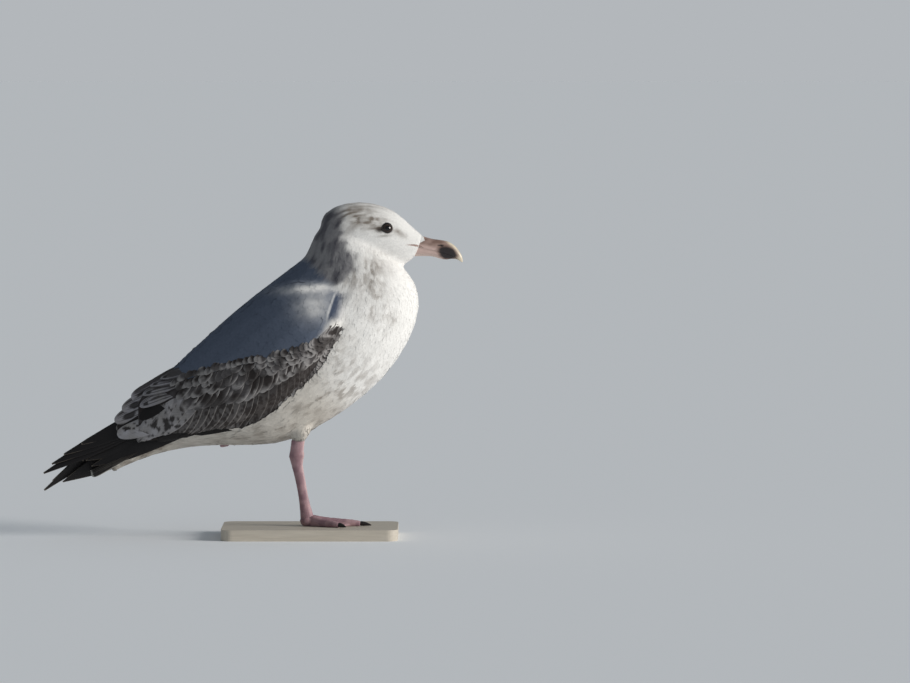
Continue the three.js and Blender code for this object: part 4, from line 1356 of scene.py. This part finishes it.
def make_gape(grounds, side, label, look):
    """Bare skin over the corner of the mouth, between the feathers and the bite."""
    f = np.linspace(0, 1, 60)[:, None]
    g = np.linspace(0, 1, 9)[None, :]
    edges = along(GAPE, f[:, 0] * (len(GAPE) - 1))
    x = edges[:, :1] + 0 * g
    z = edges[:, 2:] * (1 - g) + edges[:, 1:2] * g
    lift = 0.12 + (0.62 * np.sin(math.pi * g) ** 0.5 - 0.35) * step(1, 0.7, f)
    p = np.stack([x, (outermost(grounds, x, z, side) + lift) * side, z], -1)
    pink = mix(BILL_PINK, BILL_BROWN, 0.35 + 0.65 * step(0.3, 0.9, g + 0.2 * noise(p, (6, 4, 1.5), 44)))
    # A painted shade line along the bite, where the halves of the bill meet.
    colour = mix(pink, BILL_DARK, 0.8 * step(0.30, 0.12, g + 0 * f) * step(0.95, 0.6, f))
    gape = to_object("gape_" + label, p, [quads(numbered(*x.shape))[:, ::-side]], colour)
    finish_piece(gape, look, "bill_horn")


def bill_base_spacing(p):
    """Room for the small feathers on the base of the upper half, and none elsewhere."""
    feathered = (p[:, 0] < 124.4 - 0.35 * np.maximum(p[:, 2] - 308, 0)) & (p[:, 0] > 108)
    return np.where(feathered & (p[:, 2] > curve(BILL_FEATHERS, p[:, 0]) + 0.1), 0.52, 0)


def make_bill(ground):
    look = painted("bill", 0.36, 0.5, 260, 0.12, 0.0003, 0.05, (0.5, 1, 2.5))
    upper = mandible("bill_upper_horn", CULMEN, TOMIUM, 1, 1)
    finish_piece(upper, look, "bill_horn", "bill_upper")
    lower = mandible("bill_lower_horn", GONYS, [(x, z + 0.1) for x, z in TOMIUM], 0.9, -1)
    finish_piece(lower, look, "bill_horn", "bill_lower")
    base = Ground(upper)
    for side, label in SIDES.items():
        make_gape((ground, base), side, label, look)
    plumage = painted("bill_base_plumage", 0.9, 0.1, 700, 0.25, 0.0004, 0.06)
    tufts("coat_bill_base", base, base.sample(bill_base_spacing, 9000), coat_plan, 4, 3, plumage)


# ---------------------------------------------------------------- eyes
PUPIL = 3.0
IRIS = 4.9
IRIS_BROWN = srgb(50, 34, 24)
IRIS_RIM = srgb(20, 15, 13)
PUPIL_BLACK = srgb(6, 5, 5)
LID_DARK = srgb(44, 37, 35)
LID_PALE = srgb(128, 118, 110)


def make_eyes(ground):
    glass = Look("eye", 0.12, 0.3)
    glass.colour(glass.painted(glass.span(glass.noise(glass.place(), 1500), *FLECK, 0.8, 1.2)))
    glass.shader.inputs["Coat Weight"].default_value = 0.5
    glass.shader.inputs["Coat Roughness"].default_value = 0.02
    lid_look = skin_look("eyelid", 0.5, 0.35, 1400, 0.5, 0.0003)
    for side, label in SIDES.items():
        make_eye(side, label, glass)
        make_lid(ground, side, label, lid_look)


def make_eye(side, label, look):
    """The front of the eyeball, with a slight bulge over the iris."""
    rings, points = 60, 72
    centre, ahead, up, out = eye_frame(side)
    polar = np.linspace(0.002, 0.62 * math.pi, rings)[:, None] + np.zeros(points)
    angle = 2 * math.pi * np.arange(points) / points + np.zeros((rings, 1))
    rho = np.sin(polar) * EYE_RADIUS
    bulge = 0.35 * np.clip(1 - (rho / IRIS) ** 2, 0, 1) ** 1.5 * (polar < math.pi / 2)
    across = np.cos(angle)[..., None] * ahead + np.sin(angle)[..., None] * up
    way = np.sin(polar)[..., None] * across + np.cos(polar)[..., None] * out
    p = centre + (EYE_RADIUS - 0.25 + bulge)[..., None] * way
    spokes = 0.75 + 0.5 * noise(np.stack([angle * 14, rho * 0.4, 0 * rho], -1), 1.0, 40)
    colour = mix(IRIS_BROWN * spokes[..., None], PUPIL_BLACK, step(PUPIL + 0.25, PUPIL - 0.15, rho))
    colour = mix(colour, IRIS_RIM, step(IRIS - 0.7, IRIS, rho))
    index = numbered(rings, points)
    faces = [ring_quads(index)[:, ::-side], index[:1, ::side]]
    eye = to_object("eyeball_" + label, p, faces, colour)
    finish_piece(eye, look, "eye_glass", "eye_" + label)


def make_lid(ground, side, label, look):
    """A narrow ring of bare skin round the eye, rolled at its edge, with a small point at each corner."""
    around, steps = 96, 12
    angle = 2 * math.pi * np.arange(around)[:, None] / around
    k = np.linspace(0, 1, steps)[None, :]
    grow = 1 + 0.10 * np.abs(np.cos(angle)) ** 10 + 0.26 * k
    x = LID[0] * grow * np.cos(angle)
    z = LID[1] * grow * np.sin(angle)
    ball = np.sqrt(EYE_RADIUS**2 - np.hypot(x[:, :1], z[:, :1]) ** 2) - 0.25
    centre, ahead, up, out = eye_frame(side)
    flat = centre + x[..., None] * ahead + z[..., None] * up
    on_skin, _ = ground.nearest(flat[:, -1] + out * 6.5)
    rim = ((on_skin - centre) @ out)[:, None] - 0.35
    roll = 0.5 * np.sin(math.pi * np.clip(k * 1.2, 0, 1)) + 0.06 * np.sin(angle * 26) * k
    level = (ball + 0.1) * (1 - k) + rim * k + roll
    p = flat + level[..., None] * out
    colour = mix(LID_DARK, LID_PALE, step(0.3, 0.9, k + 0 * angle))
    index = numbered(around, steps)
    faces = quads(np.concatenate([index, index[:1]]))[:, ::-side]
    lid = to_object("eyelid_" + label, p, [faces], colour)
    finish_piece(lid, look, "leg_skin")


# ---------------------------------------------------------------- legs, feet, claws and base
LEG_PINK = srgb(172, 140, 144)
LEG_SHADE = srgb(144, 113, 121)
# A painted highlight, for the front of the leg.
LEG_HIGHLIGHT = srgb(206, 180, 178)
# Greyer at the joints, and painted shade on the rear of the leg.
LEG_JOINT_AND_SHADE = srgb(128, 98, 104)
CLAW = srgb(24, 20, 20)
WOOD_DARK = srgb(184, 175, 160)
WOOD_PALE = srgb(201, 193, 180)
HOCK = (-14.0, -14.0, 78.0), (8.3, 5.6, 6.5)  # the lump of the right heel: its centre and its half sizes
# How feathers cover the legs: the axis towards them, where they start on it, the middle of the leg there,
# and how much thinner it gets under them.
HIDDEN_RIGHT = (2, 93, (-12, -18), 0.5)
HIDDEN_LEFT = (0, -90, (20, 92.5), 0.8)


def shaped(name, nodes, size, smooth, colour_at, look, slot, grow=0.12, ball=None, hidden=None):
    """A smooth copy of CAD nodes with painted colour, which stands for them."""
    obj = grown_copy(name, nodes, grow, {})
    if ball:
        add_ball(obj, *ball)
    remesh(obj, size, smooth)
    p = bird_points(obj.data)
    if hidden:
        axis, start, centre, share = hidden
        inside = share * step(start, start + 6, p[:, axis])[:, None]
        across = [k for k in range(3) if k != axis]
        p[:, across] += (np.array(centre) - p[:, across]) * inside
        set_points(obj.data, p)
    paint(obj.data, colour_at(p, bird_normals(obj.data)))
    finish_piece(obj, look, slot, *nodes)


def leg_colour(p, n):
    """Pink, with a painted highlight along the front, greyer at the joints, and painted shade behind."""
    base = mix(LEG_PINK, LEG_SHADE, step(0.3, 0.75, noise(p, 5, 50)))
    # A painted highlight along the front.
    base = mix(base, LEG_HIGHLIGHT, 0.6 * step(0.45, 0.9, n[:, 0]) * step(20, 40, p[:, 2]))
    joints = blob(p, -14, 76, 7, 6) + 0.7 * blob(p, -4, 8, 9, 7)
    # Greyer at the joints, and painted shade behind.
    return mix(base, LEG_JOINT_AND_SHADE, np.clip(0.6 * joints + 0.25 * step(0, -1, n[:, 0]), 0, 0.8))


def claw_colour(p, n):
    return np.tile(CLAW, (len(p), 1))


def make_legs():
    leg = skin_look("leg_skin", 0.5, 0.35, 760, 0.3, 0.0003, 0.06)
    claw = painted("claw", 0.35, 0.5, 300, 0.1, 0.0002)
    right_leg = ["thigh_right", "shank_right"]
    shaped("leg_right", right_leg, 0.8, 14, leg_colour, leg, "leg_skin", 0.25, HOCK, HIDDEN_RIGHT)
    shaped("webbed_foot_right", ["foot_right"], 0.8, 5, leg_colour, leg, "leg_skin")
    shaped("leg_left", ["shank_left"], 1.1, 24, leg_colour, leg, "leg_skin", hidden=HIDDEN_LEFT)
    shaped("tucked_foot_left", ["foot_left"], 0.9, 8, leg_colour, leg, "leg_skin", -2)
    for toe in ("inner", "middle", "outer"):
        shaped("nail_" + toe, ["claw_right_" + toe], 0.4, 4, claw_colour, claw, "claw_horn")


def make_base():
    """Wood for the CAD base, with its grain along X."""
    look = Look("base_wood", 0.55, 0.35)
    grain = look.noise(look.place((2.5, 34, 34)), 5)
    pores = look.noise(look.place((8, 160, 160)), 6)
    ramp = look.node("ValToRGB")
    look.links.new(grain, ramp.inputs["Fac"])
    for stop, colour in zip(ramp.color_ramp.elements, (WOOD_DARK, WOOD_PALE)):
        stop.color = (*colour, 1)
    look.colour(look.scaled(ramp.outputs["Color"], look.span(pores, *FLECK, 0.93, 1.05)))
    look.bump(pores, 0.25, 0.0003)
    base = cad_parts["stand_base"]
    base.data.materials.clear()
    base.data.materials.append(look.material)


# ---------------------------------------------------------------- all together
def main():
    bpy.context.scene.view_settings.view_transform = "Standard"
    make_camera()
    make_lights()
    make_floor()
    ground = Ground(make_skin())
    make_coat(ground)
    make_mantle(ground)
    vane = vane_look("vane")
    make_wings(ground, vane)
    make_quills(vane_look("quill", 0.5, 0.3), vane)
    make_tail(vane)
    make_bill(ground)
    make_eyes(ground)
    make_legs()
    make_base()


main()
